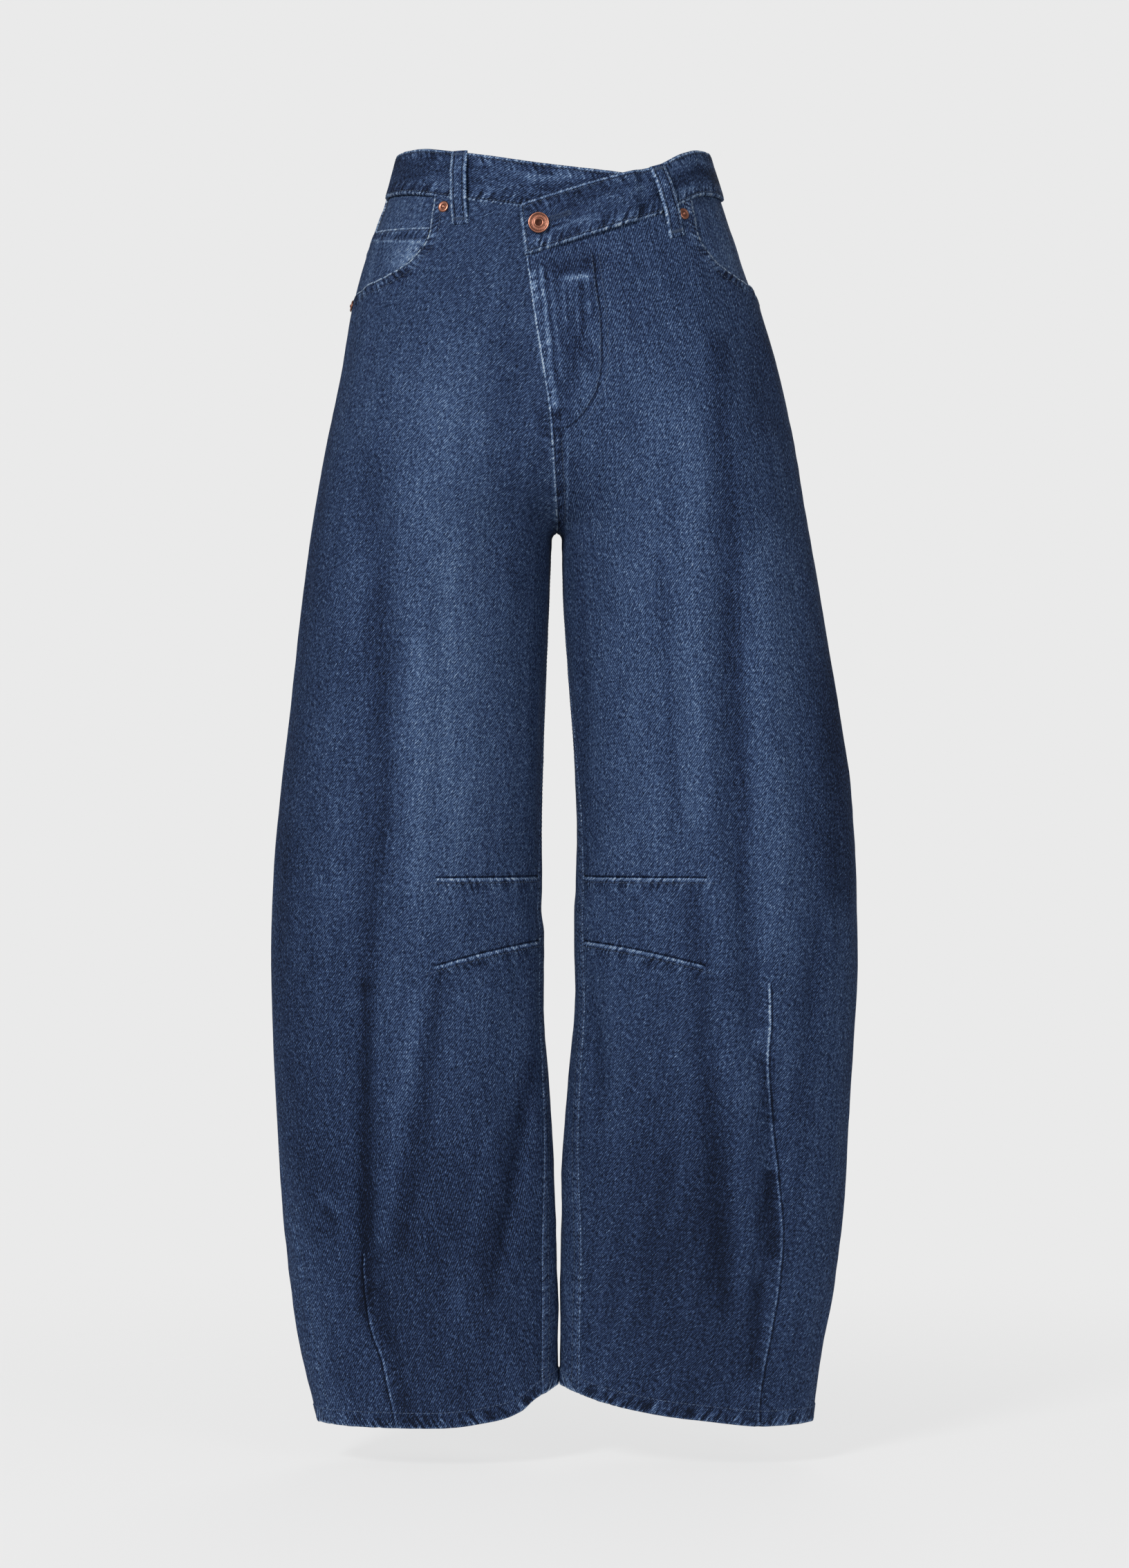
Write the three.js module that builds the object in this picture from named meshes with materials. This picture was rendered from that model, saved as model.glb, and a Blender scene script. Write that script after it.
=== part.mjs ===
// Wide-leg jeans with barrel legs and a crossover waist, as worn and hollow.
// Millimetres. The origin is the middle of the waist, +Z is up, -Y is the front, +X is the wearer's left.
import * as THREE from "three";

// Cloth and seams
const CLOTH = 1.4; // one layer of denim with its seam allowance pressed behind it
const SEAM = 0.3; // gap between neighbouring pieces
const HALF_SEAM = SEAM / 2;
const HEM_DEPTH = 12; // turned-up hem
const HEM_STEP = 0.5; // how far the turned-up hem stands out

// Heights of the main lines, measured from the top of the waist at the sides
const CROTCH = -313;
const FRONT_RISE_START = -235; // where the front seam starts to curve under
const SEAT_RISE_START = -205; // the same for the seat seam
const CROTCH_ROUND = 6; // height of the rounding at the top of the gap between the legs
const CROTCH_BLEND = 70; // height over which that gap is felt further out
const CROTCH_LOCAL = 10; // power that keeps the rounding close to the inside of the leg
const HIP_LINE = -160; // rows above it follow the waist seam or yoke, rows below it are level
const HEM_LINE = -985; // rows below it follow the hem
const SEAT_X = -5; // the seat seam's place, sideways
const QUARTER = Math.PI / 2;

// Waistband
const BAND_OUT = 1.2; // the band's face stands this far outside the panels
const BAND_THICK = 3;
const OVER_LIFT = 3.6; // the over end lies on the under end
const UNDER_END = 56;
const OVER_END = -33;
const LIFT_FROM = 57; // the lift fades out between these two places
const LIFT_TO = 66;
const WAIST_GAP = 0.5; // gap between the band and what hangs from it

// Fly
const UNDERLAP = 10; // how far the wearer's right front runs on under the fly
const UNDERLAP_END = [-214, -230];
const FLY_LIFT = 2;
const FLY_LIFT_END = [-230, -262];
const FLY_WIDTH = [16, 34]; // the lift fades out between these distances from the fly's edge

// Outline seen from the front, and depths seen from the side
const OUTLINE = [
  { z: 0, right: -134, left: 121.5, front: 92, back: 92, apexRight: -26, apexLeft: 14 },
  { z: -38, right: -144.5, left: 133, front: 96, back: 98, apexRight: -36, apexLeft: 24 },
  { z: -78, right: -159, left: 146.5, front: 100, back: 107, apexRight: -47, apexLeft: 37 },
  { z: -130, right: -172.6, left: 164, front: 103, back: 118, apexRight: -62, apexLeft: 54 },
  { z: -181, right: -181.2, left: 179, front: 104, back: 125, apexRight: -76, apexLeft: 69 },
  { z: -250, right: -195.4, left: 193.7, front: 102, back: 122, apexRight: -93, apexLeft: 88 },
  { z: -318, right: -206.8, left: 204.6, front: 98, back: 107, apexRight: -106, apexLeft: 101 },
  { z: -386, right: -215.4, left: 216, front: 94, back: 97, apexRight: -113, apexLeft: 109 },
  { z: -455, right: -222.8, left: 228.5, front: 90, back: 92, apexRight: -118.5, apexLeft: 118 },
  { z: -523, right: -230.8, left: 238.5, front: 86, back: 89, apexRight: -123, apexLeft: 124.5 },
  { z: -592, right: -237, left: 243.3, front: 82, back: 88, apexRight: -126.5, apexLeft: 127.5 },
  { z: -660, right: -239.2, left: 244, front: 80, back: 87, apexRight: -127, apexLeft: 127.5 },
  { z: -728, right: -237.6, left: 240.7, front: 77, back: 84, apexRight: -125, apexLeft: 124.5 },
  { z: -797, right: -234.2, left: 236.5, front: 72, back: 79, apexRight: -121.5, apexLeft: 120 },
  { z: -865, right: -229.6, left: 232.7, front: 67, back: 73, apexRight: -117.5, apexLeft: 116.5 },
  { z: -933, right: -222.8, left: 225, front: 61, back: 66, apexRight: -113, apexLeft: 112 },
  { z: -985, right: -214.8, left: 215, front: 56, back: 60, apexRight: -108.5, apexLeft: 107 },
  { z: -1050, right: -199.5, left: 206.5, front: 52, back: 54, apexRight: -101, apexLeft: 103 },
];

// The closure line at the front, down to the crotch
const FLY_LINE = [
  { z: 0, x: -36 },
  { z: -57, x: -32.7 },
  { z: -97, x: -28 },
  { z: -142, x: -22 },
  { z: -195, x: -13.3 },
  { z: -226, x: -9 },
  { z: -270, x: -6.3 },
  { z: CROTCH, x: -3.7 },
];

// Where the legs face each other
const INSIDE = [
  { z: CROTCH, right: -8, left: 0.6 },
  { z: -352, right: -9.7, left: 1.2 },
  { z: -420, right: -12.5, left: 5.1 },
  { z: -489, right: -14.8, left: 9.7 },
  { z: -557, right: -16, left: 12.4 },
  { z: -605, right: -16, left: 12 },
  { z: -622, right: -16.6, left: 10.6 },
  { z: -643, right: -14.2, left: 10.2 },
  { z: -694, right: -14.2, left: 10.8 },
  { z: -762, right: -10.3, left: 5.7 },
  { z: -831, right: -6.6, left: 1.2 },
  { z: -899, right: -4.6, left: -0.2 },
  { z: -950, right: -2.8, left: -1.4 },
  { z: -1050, right: -2.8, left: -1.4 },
];

// How far each seam is turned towards the front, as a share of a quarter turn of the leg
const SEAM_TURN = [
  { z: 0, sideRight: 0, sideLeft: -0.12, insideRight: 0, insideLeft: 0 },
  { z: CROTCH, sideRight: 0, sideLeft: -0.12, insideRight: 0, insideLeft: 0 },
  { z: -600, sideRight: 0, sideLeft: -0.12, insideRight: 0.13, insideLeft: 0.2 },
  { z: -790, sideRight: 0.04, sideLeft: -0.12, insideRight: 0.2, insideLeft: 0.27 },
  { z: -930, sideRight: 0.33, sideLeft: -0.12, insideRight: 0.3, insideLeft: 0.35 },
  { z: -1050, sideRight: 0.33, sideLeft: -0.12, insideRight: 0.33, insideLeft: 0.35 },
];

// Band edges by their place sideways: the under end, the over end and the back
const UNDER_EDGE = [
  { x: -150, top: -4.5, foot: -37 },
  { x: -119, top: -5, foot: -42 },
  { x: -87, top: -11, foot: -49.5 },
  { x: -31, top: -20.5, foot: -57.6 },
  { x: 13, top: -26, foot: -63 },
  { x: 60, top: -31, foot: -68 },
];
const OVER_EDGE = [
  { x: -34, top: -57, foot: -98.6 },
  { x: 13, top: -41.5, foot: -83.5 },
  { x: 51, top: -30.5, foot: -71.5 },
  { x: 77, top: -22.6, foot: -62.5 },
  { x: 100, top: -9, foot: -50 },
  { x: 114, top: -4, foot: -42 },
  { x: 140, top: -3, foot: -38 },
];
const BACK_EDGE = [
  { x: -140, top: -4.5, foot: -37 },
  { x: -60, top: -11, foot: -48 },
  { x: SEAT_X, top: -12, foot: -50 },
  { x: 50, top: -11, foot: -48 },
  { x: 128, top: -3, foot: -38 },
];

// Hem height by its place sideways
const HEM_RIGHT = [
  { x: -201, z: -1043 },
  { x: -100, z: -1042.5 },
  { x: -51, z: -1037 },
  { x: -33, z: -1031 },
  { x: -20, z: -1021 },
  { x: -2, z: -1013 },
];
const HEM_LEFT = [
  { x: -2, z: -1013 },
  { x: 12, z: -1017 },
  { x: 33, z: -1023 },
  { x: 80, z: -1032 },
  { x: 120, z: -1037 },
  { x: 168, z: -1042.5 },
  { x: 208, z: -1043 },
];

// Front pocket mouth: distance from the side seam at each height
const POCKET_MOUTH = [
  { z: -40, s: 92 },
  { z: -66, s: 101 },
  { z: -79.5, s: 104.5 },
  { z: -90, s: 100.5 },
  { z: -99, s: 93 },
  { z: -109, s: 72 },
  { z: -114, s: 50 },
  { z: -118, s: 26 },
  { z: -121, s: 0 },
];
const POCKET_FOOT = -121;

// Knee darts: two on each front, from the inside of the leg. Each height is where the dart's line would cross
// the side seam and where it meets the inside of the leg, and end is where it stops, as a share of the width.
const KNEE_DARTS = [
  { side: -596, inside: -596, end: 0.57 },
  { side: -697, inside: -649, end: 0.6 },
];
const DART_DEEP = 1.3;
const DART_FADE = 0.06;

// Largest folds of the front and back: the trough's course by three points, its half-width and its depth
const FRONT_FOLDS = [
  { x0: -160, z0: -230, x1: -153, z1: -470, x2: -160, z2: -720, wide: 17, deep: 6 },
  { x0: -160, z0: -640, x1: -159, z1: -850, x2: -141, z2: -1030, wide: 18, deep: 8 },
  { x0: -81, z0: -688, x1: -109, z1: -757, x2: -124, z2: -880, wide: 14, deep: 4 },
  { x0: -24, z0: -728, x1: -36, z1: -842, x2: -64, z2: -960, wide: 13, deep: 4 },
  { x0: -32, z0: -150, x1: -47, z1: -261, x2: -58, z2: -400, wide: 17, deep: 4 },
  { x0: 134, z0: -340, x1: 143, z1: -557, x2: 161, z2: -770, wide: 14, deep: 6 },
  { x0: 160, z0: -720, x1: 171, z1: -842, x2: 157, z2: -1020, wide: 15, deep: 6 },
  { x0: 82, z0: -370, x1: 101, z1: -591, x2: 119, z2: -800, wide: 15, deep: 5 },
  { x0: 117, z0: -750, x1: 130, z1: -899, x2: 141, z2: -1020, wide: 15, deep: 5 },
  { x0: 119, z0: -101, x1: 160, z1: -193, x2: 186, z2: -260, wide: 17, deep: 4 },
  { x0: 23, z0: -640, x1: 27, z1: -720, x2: 40, z2: -810, wide: 12, deep: 4 },
];
const BACK_FOLDS = [
  { x0: -70, z0: -305, x1: -88, z1: -420, x2: -84, z2: -640, wide: 18, deep: 7 },
  { x0: -152, z0: -310, x1: -168, z1: -520, x2: -160, z2: -760, wide: 17, deep: 6 },
  { x0: -100, z0: -600, x1: -124, z1: -800, x2: -108, z2: -1010, wide: 18, deep: 7 },
  { x0: -44, z0: -720, x1: -56, z1: -860, x2: -46, z2: -1000, wide: 14, deep: 4 },
  { x0: 66, z0: -305, x1: 84, z1: -410, x2: 90, z2: -620, wide: 18, deep: 7 },
  { x0: 150, z0: -320, x1: 172, z1: -560, x2: 164, z2: -800, wide: 17, deep: 6 },
  { x0: 96, z0: -590, x1: 118, z1: -790, x2: 112, z2: -1000, wide: 18, deep: 7 },
  { x0: 40, z0: -700, x1: 50, z1: -850, x2: 44, z2: -990, wide: 14, deep: 4 },
];
const FOLD_FADE = 70; // height over which a fold rises from nothing at each end

// A smooth curve through a table's rows that never overshoots them.
function through(rows, key, value) {
  const sorted = [...rows].sort((a, b) => a[key] - b[key]);
  const at = sorted.map((row) => row[key]);
  const is = sorted.map((row) => row[value]);
  const slope = at.slice(1).map((a, i) => (is[i + 1] - is[i]) / (a - at[i]));
  const tangent = at.map((_, i) => {
    if (i === 0) return slope[0];
    if (i === at.length - 1) return slope[i - 1];
    const [before, after] = [slope[i - 1], slope[i]];
    return before * after <= 0 ? 0 : (2 * before * after) / (before + after);
  });
  return (wanted) => {
    const p = Math.min(Math.max(wanted, at[0]), at[at.length - 1]);
    let i = 0;
    while (i < at.length - 2 && p > at[i + 1]) i += 1;
    const step = at[i + 1] - at[i];
    const t = (p - at[i]) / step;
    const [t2, t3] = [t * t, t * t * t];
    return (
      is[i] * (2 * t3 - 3 * t2 + 1) +
      is[i + 1] * (3 * t2 - 2 * t3) +
      step * (tangent[i] * (t3 - 2 * t2 + t) + tangent[i + 1] * (t3 - t2))
    );
  };
}

const smooth = (a, b, p) => THREE.MathUtils.smoothstep((p - a) / (b - a), 0, 1);
const between = THREE.MathUtils.lerp;

const column = (rows, value) => through(rows, "z", value);
const outer = { right: column(OUTLINE, "right"), left: column(OUTLINE, "left") };
const apex = { right: column(OUTLINE, "apexRight"), left: column(OUTLINE, "apexLeft") };
const depth = { front: column(OUTLINE, "front"), back: column(OUTLINE, "back") };
const inside = { right: column(INSIDE, "right"), left: column(INSIDE, "left") };
const flyX = column(FLY_LINE, "x");
const sideTurn = { right: column(SEAM_TURN, "sideRight"), left: column(SEAM_TURN, "sideLeft") };
const insideTurn = { right: column(SEAM_TURN, "insideRight"), left: column(SEAM_TURN, "insideLeft") };
const seatX = (z) => between(SEAT_X, flyX(CROTCH), smooth(SEAT_RISE_START, CROTCH, z));
const mouth = column(POCKET_MOUTH, "s");
const hem = { right: through(HEM_RIGHT, "x", "z"), left: through(HEM_LEFT, "x", "z") };
const edgeOf = (rows) => ({ top: through(rows, "x", "top"), foot: through(rows, "x", "foot") });
const underEdge = edgeOf(UNDER_EDGE);
const overEdge = edgeOf(OVER_EDGE);
const backEdge = edgeOf(BACK_EDGE);

// How far a fold pushes the cloth inwards at a point.
function foldDepth(folds, x, z) {
  let sum = 0;
  for (const f of folds) {
    if (z > f.z0 || z < f.z2) continue;
    const t = (f.z0 - z) / (f.z0 - f.z2);
    const m = (f.z0 - f.z1) / (f.z0 - f.z2);
    const bend = (f.x1 - between(f.x0, f.x2, m)) / (m * (1 - m));
    const middle = between(f.x0, f.x2, t) + bend * t * (1 - t);
    const fade = smooth(0, FOLD_FADE, f.z0 - z) * smooth(0, FOLD_FADE, z - f.z2);
    sum += f.deep * fade * Math.exp(-(((x - middle) / f.wide) ** 2));
  }
  return sum;
}

// The middle line of a half section above the crotch, which runs straight on down below it.
function middleLine(side, isFront, z) {
  const away = side === "right" ? -HALF_SEAM : HALF_SEAM;
  return away + (isFront ? flyX(z) : seatX(z));
}

// How far the inside of the leg has moved away from the middle line: at once at the inside itself and
// more slowly further out. out runs from 0 at the foremost point to 1 at the inside.
function legOpening(side, isFront, z, out) {
  if (z >= CROTCH) return 0;
  const t = Math.min(1, (CROTCH - z) / CROTCH_ROUND);
  const local = out ** CROTCH_LOCAL;
  const share = Math.sqrt(1 - (1 - t) ** 2) * local + smooth(CROTCH, CROTCH - CROTCH_BLEND, z) * (out - local);
  return (inside[side](z) - middleLine(side, isFront, z)) * share;
}

// How far the front or seat seam lies in front of or behind the crotch point.
function riseDepth(isFront, z) {
  const start = isFront ? FRONT_RISE_START : SEAT_RISE_START;
  const t = THREE.MathUtils.clamp((start - z) / (start - CROTCH), 0, 1);
  return Math.max(HALF_SEAM, depth[isFront ? "front" : "back"](z) * Math.sqrt(1 - t * t));
}

// A point of the cloth's face. Turn 0 is the outermost point of the side, 1 the foremost, 2 the inner end;
// negative turns run round the back, and both runs meet at the inside of the leg.
function clothPoint(side, turn, z) {
  if (turn > 2) return clothPoint(side === "right" ? "left" : "right", 4 - turn, z);
  if (turn < -2) return clothPoint(side, turn + 4, z);
  const isFront = turn >= 0;
  const sign = isFront ? -1 : 1;
  const share = Math.abs(turn);
  const top = apex[side](z);
  const full = depth[isFront ? "front" : "back"](z);
  let x, y;
  if (share <= 1) {
    x = top + (outer[side](z) - top) * Math.cos(share * QUARTER);
    y = full * Math.sin(share * QUARTER);
  } else {
    const angle = (share - 1) * QUARTER;
    const out = Math.sin(angle);
    x = top + (middleLine(side, isFront, z) - top) * out + legOpening(side, isFront, z, out);
    // Flat between the legs' foremost points where the rise is full; round legs where there is none.
    const rise = (riseDepth(isFront, z) / full) ** 4;
    y = full * between(Math.cos(angle) ** 4, 1, rise) ** 0.25;
  }
  y -= foldDepth(isFront ? FRONT_FOLDS : BACK_FOLDS, x, z);
  return new THREE.Vector3(x, sign * y, z);
}

// The outward normal at a point, from two short steps that stay on the same side of the crotch.
function clothNormal(side, turn, z) {
  const step = 0.02;
  const rise = 0.6;
  const [a, b] = [Math.max(-2, turn - step), Math.min(2, turn + step)];
  const above = z >= CROTCH;
  const low = above ? Math.max(CROTCH, z - rise) : z - rise;
  const high = above ? z + rise : Math.min(CROTCH - 0.01, z + rise);
  const across = clothPoint(side, b, z).sub(clothPoint(side, a, z));
  const up = clothPoint(side, turn, high).sub(clothPoint(side, turn, low));
  const normal = across.cross(up).normalize();
  return side === "right" ? normal : normal.negate();
}

// One level row of cloth between two turns, measured along the cloth.
const ROW_STEPS = 90;
const rowStore = new Map();
function row(side, from, to, z) {
  const name = [side, from.toFixed(4), to.toFixed(4), z.toFixed(3)].join();
  if (rowStore.has(name)) return rowStore.get(name);
  const turns = [];
  const lengths = [0];
  let last = null;
  for (let i = 0; i <= ROW_STEPS; i += 1) {
    const turn = between(from, to, i / ROW_STEPS);
    const p = clothPoint(side, turn, z);
    if (last) lengths.push(lengths[i - 1] + p.distanceTo(last));
    turns.push(turn);
    last = p;
  }
  const made = {
    length: lengths[ROW_STEPS],
    turnAt(s) {
      let i = 0;
      while (i < ROW_STEPS - 1 && s > lengths[i + 1]) i += 1;
      return between(turns[i], turns[i + 1], (s - lengths[i]) / (lengths[i + 1] - lengths[i]));
    },
    lengthAt(turn) {
      const p = ((turn - from) / (to - from)) * ROW_STEPS;
      const i = Math.min(ROW_STEPS - 1, Math.floor(p));
      return between(lengths[i], lengths[i + 1], p - i);
    },
  };
  rowStore.set(name, made);
  return made;
}

// A closed piece of cloth: a grid of columns and rows, with its face, its wrong side and its cut edges.
// place(u, v) gives a point on the cloth, its outward normal and how far its face stands out.
function clothPiece(columns, rows, thickness, place) {
  const points = [];
  const number = (layer, i, j) => (layer * (rows + 1) + j) * (columns + 1) + i;
  for (const layer of [0, 1]) {
    for (let j = 0; j <= rows; j += 1) {
      for (let i = 0; i <= columns; i += 1) {
        const { point, normal, out } = place(i / columns, j);
        const moved = point.clone().addScaledVector(normal, out - layer * thickness);
        points.push(moved.x, moved.y, moved.z);
      }
    }
  }
  const faces = [];
  const quad = (a, b, c, d) => faces.push(a, b, c, a, c, d);
  for (let j = 0; j < rows; j += 1) {
    for (let i = 0; i < columns; i += 1) {
      quad(number(0, i, j), number(0, i + 1, j), number(0, i + 1, j + 1), number(0, i, j + 1));
      quad(number(1, i, j), number(1, i, j + 1), number(1, i + 1, j + 1), number(1, i + 1, j));
    }
    quad(number(0, 0, j), number(0, 0, j + 1), number(1, 0, j + 1), number(1, 0, j));
    quad(number(1, columns, j), number(1, columns, j + 1), number(0, columns, j + 1), number(0, columns, j));
  }
  for (let i = 0; i < columns; i += 1) {
    quad(number(1, i, 0), number(1, i + 1, 0), number(0, i + 1, 0), number(0, i, 0));
    quad(number(0, i, rows), number(0, i + 1, rows), number(1, i + 1, rows), number(1, i, rows));
  }
  return outwards(points, faces);
}

// Turns a closed mesh's faces outwards, if they aren't already.
function outwards(points, faces) {
  let volume = 0;
  const [a, b, c] = [new THREE.Vector3(), new THREE.Vector3(), new THREE.Vector3()];
  for (let i = 0; i < faces.length; i += 3) {
    a.fromArray(points, faces[i] * 3);
    b.fromArray(points, faces[i + 1] * 3);
    c.fromArray(points, faces[i + 2] * 3);
    volume += a.dot(b.cross(c));
  }
  if (volume < 0) for (let i = 0; i < faces.length; i += 3) faces.splice(i, 3, faces[i], faces[i + 2], faces[i + 1]);
  const geometry = new THREE.BufferGeometry();
  geometry.setAttribute("position", new THREE.Float32BufferAttribute(points, 3));
  geometry.setIndex(faces);
  geometry.computeVertexNormals();
  return geometry;
}

// Columns are evenly spaced along the cloth above these heights, and by the section's turn below them, where
// the rows' length changes quickly at the crotch.
const COLUMN_CHANGE = [-180, -262];

// A piece laid along the cloth's rows. start(z, length) and end(z, length) give its two edges as distances along
// the row from the side seam, and heights gives one function of u for each row, down from the top.
function rowPiece({ side, isFront, columns, thickness, start, end, heights, out }) {
  const rowAt = (z) => {
    const turned = z < CROTCH ? insideTurn[side](z) : 0;
    return row(side, sideTurn[side](z), isFront ? 2 - turned : -2 - turned, z);
  };
  // Past the closure line the piece runs on over the other side's cloth.
  const turnAt = (s, z) => {
    const whole = rowAt(z);
    if (s <= whole.length) return whole.turnAt(s);
    return 4 - row(side === "right" ? "left" : "right", 2, 1.5, z).turnAt(s - whole.length);
  };
  const at = (u, zStart, zEnd, z) => {
    const { length } = rowAt(z);
    const [first, last] = [start(zStart, length), end(zEnd, length)];
    const even = turnAt(between(first, last, u), z);
    const shared = between(turnAt(first, z), turnAt(last, z), u);
    const turn = between(even, shared, smooth(COLUMN_CHANGE[0], COLUMN_CHANGE[1], z));
    return { turn, point: clothPoint(side, turn, z) };
  };
  // An edge whose height depends on its place sideways is found by a few repeats, its two ends first.
  const follow = (edge, first) => {
    const settle = (u, ends) => {
      let z = first;
      for (let i = 0; i < 8; i += 1) z = edge(at(u, ends ? ends[0] : z, ends ? ends[1] : z, z).point.x, u);
      return z;
    };
    const ends = [settle(0), settle(1)];
    const store = new Map();
    return (u) => {
      if (!store.has(u)) store.set(u, u === 0 || u === 1 ? ends[u] : settle(u, ends));
      return store.get(u);
    };
  };
  const zOf = heights(follow);
  return clothPiece(columns, zOf.length - 1, thickness, (u, j) => {
    const z = zOf[j](u);
    const found = at(u, zOf[j](0), zOf[j](1), z);
    const { isHem, dartEnd } = zOf[j];
    const raised = isHem ? HEM_STEP : 0;
    const pressed = dartEnd ? DART_DEEP * smooth(dartEnd - DART_FADE, dartEnd + DART_FADE, u) : 0;
    const gap = rowAt(z).length - rowAt(z).lengthAt(found.turn);
    return { point: found.point, normal: normalAt(side, found.turn, z), out: out(gap, z) + raised - pressed };
  });
}

// The normal, also where a turn has run past the closure line or the inside of the leg.
function normalAt(side, turn, z) {
  if (turn > 2 && z >= CROTCH) return clothNormal(side === "right" ? "left" : "right", 4 - turn, z);
  return turn < -2 ? clothNormal(side, turn + 4, z) : clothNormal(side, turn, z);
}

// Level rows of all four leg panels.
const LEVELS = [
  HIP_LINE, -187, -214, -230, -246, -262, -277, -290, -300, -307, -311, CROTCH, -314, -318, -328, -352, -390, -430,
  -470, -510, -550, -580,
];
const LOWER_LEVELS = [-745, -775, -808, -842, -876, -910, -945, HEM_LINE];

// The rows between those levels follow the knee darts, which are pressed into the middle row of three.
const ABOVE_DART = (u) => between(-645, -622, u);
const BELOW_DART = (u) => between(-718, -692, u);
const dartLine = ({ side, inside: inner }) => (u) => between(side, inner, u);
const dartRows = (dart) =>
  [5, 0, -4].map((above) => {
    const height = (u) => dartLine(dart)(u) + above;
    return Object.assign(height, { dartEnd: above === 0 ? dart.end : undefined });
  });
const FRONT_KNEE_ROWS = [...dartRows(KNEE_DARTS[0]), ABOVE_DART, ...dartRows(KNEE_DARTS[1]), BELOW_DART];
const BACK_KNEE_ROWS = [dartLine(KNEE_DARTS[0]), ABOVE_DART, dartLine(KNEE_DARTS[1]), BELOW_DART];

// A leg panel from the waist or yoke to the hem.
function legPanel({ side, isFront, columns, topRows, topOf, start, extra, out }) {
  return rowPiece({
    side,
    isFront,
    columns,
    thickness: CLOTH,
    start: (z) => start(z) + HALF_SEAM,
    end: (z, length) => length + (z < CROTCH ? -HALF_SEAM : extra(z)),
    heights: (follow) => {
      const top = follow(topOf, -70);
      const foot = follow(hem[side], -1035);
      const inHem = [(u) => foot(u) + HEM_DEPTH, (u) => foot(u)];
      inHem.forEach((height) => (height.isHem = true));
      return [
        ...topRows.map((share) => (u) => between(top(u), HIP_LINE, share)),
        ...LEVELS.map((z) => () => z),
        ...(isFront ? FRONT_KNEE_ROWS : BACK_KNEE_ROWS),
        ...LOWER_LEVELS.map((z) => () => z),
        (u) => between(HEM_LINE, foot(u) + HEM_DEPTH, 0.5),
        (u) => foot(u) + HEM_DEPTH + 1,
        ...inHem,
      ];
    },
    out,
  });
}

const flyLift = (gap, z) =>
  FLY_LIFT * (1 - smooth(FLY_WIDTH[0], FLY_WIDTH[1], gap)) * (1 - smooth(FLY_LIFT_END[0], FLY_LIFT_END[1], z));
const underlap = (z) => UNDERLAP * (1 - smooth(UNDERLAP_END[0], UNDERLAP_END[1], z));
const FRONT_TOP_ROWS = [0, 0.14, 0.29, 0.38, 0.46, 0.504, 0.544, 0.575, 0.602, 0.62, 0.637, 0.655, 0.8];

function frontPanel(side) {
  const isUnder = side === "right";
  const edge = isUnder ? underEdge : overEdge;
  return legPanel({
    side,
    isFront: true,
    columns: 12,
    topRows: FRONT_TOP_ROWS,
    topOf: (x) => edge.foot(x) - WAIST_GAP,
    start: mouth,
    extra: isUnder ? underlap : () => 0,
    out: isUnder ? () => 0 : flyLift,
  });
}

// The yoke seam falls from the side seam to the seat seam.
const YOKE_SIDE = -86;
const YOKE_SEAT = -116;
const BACK_COLUMNS = 12;
const BACK_TOP_ROWS = [0, 0.5];
const yokeSeam = (u) => between(YOKE_SIDE, YOKE_SEAT, u);

function backPanel(side) {
  return legPanel({
    side,
    isFront: false,
    columns: BACK_COLUMNS,
    topRows: BACK_TOP_ROWS,
    topOf: (x, u) => yokeSeam(u) - HALF_SEAM,
    start: () => 0,
    extra: () => 0,
    out: () => 0,
  });
}

// A smaller piece, with its rows at the given shares of its height.
function patch({ shares, top, foot, out, ...rest }) {
  return rowPiece({
    ...rest,
    heights: (follow) => {
      const [high, low] = [follow(top, -60), follow(foot, -120)];
      return shares.map((v) => (u) => between(high(u), low(u), v));
    },
    out: () => out,
  });
}

function yoke(side) {
  return patch({
    side,
    isFront: false,
    columns: BACK_COLUMNS,
    thickness: CLOTH,
    out: 0,
    shares: [0, 0.33, 0.67, 1],
    start: () => HALF_SEAM,
    end: (z, length) => length,
    top: (x) => backEdge.foot(x) - WAIST_GAP,
    foot: (x, u) => yokeSeam(u) + HALF_SEAM,
  });
}

// Front pocket facing: it shows in the pocket mouth and runs on a little way behind the front's edge.
const FACING_SET = 2.5; // how far behind the face of the front it lies
const FACING_TUCK = 8;
const FACING_THICK = 1.2;
const FACING_FOOT = POCKET_FOOT - 4;
const FACING_ROWS = [0, 0.23, 0.39, 0.53, 0.645, 0.71, 0.766, 0.81, 0.85, 0.887, 1];

function facing(side) {
  const edge = side === "right" ? underEdge : overEdge;
  return patch({
    side,
    isFront: true,
    columns: 9,
    thickness: FACING_THICK,
    out: -FACING_SET,
    shares: FACING_ROWS,
    start: () => HALF_SEAM,
    end: (z) => mouth(Math.max(z, POCKET_FOOT + 3)) + FACING_TUCK,
    top: (x) => edge.foot(x) - WAIST_GAP,
    foot: () => FACING_FOOT,
  });
}

// Coin pocket: a patch on the wearer's right facing, up to the edge of the pocket mouth.
const COIN_TOP = [-66, -72]; // at the side seam's end and at the pocket mouth
const COIN_FOOT = POCKET_FOOT + 4;
const COIN_SET = 0.6;
const COIN_THICK = 1.1;
const COIN_SIDE = 4; // distance of its outer edge from the side seam
const COIN_GAP = 1.5; // distance of its inner edge from the front's
const COIN_ROWS = [0, 0.25, 0.48, 0.66, 0.75, 0.83, 0.91, 1];

function coinPocket() {
  return patch({
    side: "right",
    isFront: true,
    columns: 8,
    thickness: COIN_THICK,
    out: -COIN_SET,
    shares: COIN_ROWS,
    start: () => COIN_SIDE,
    end: (z) => mouth(z) - COIN_GAP,
    top: (x, u) => between(COIN_TOP[0], COIN_TOP[1], u),
    foot: () => COIN_FOOT,
  });
}

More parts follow.
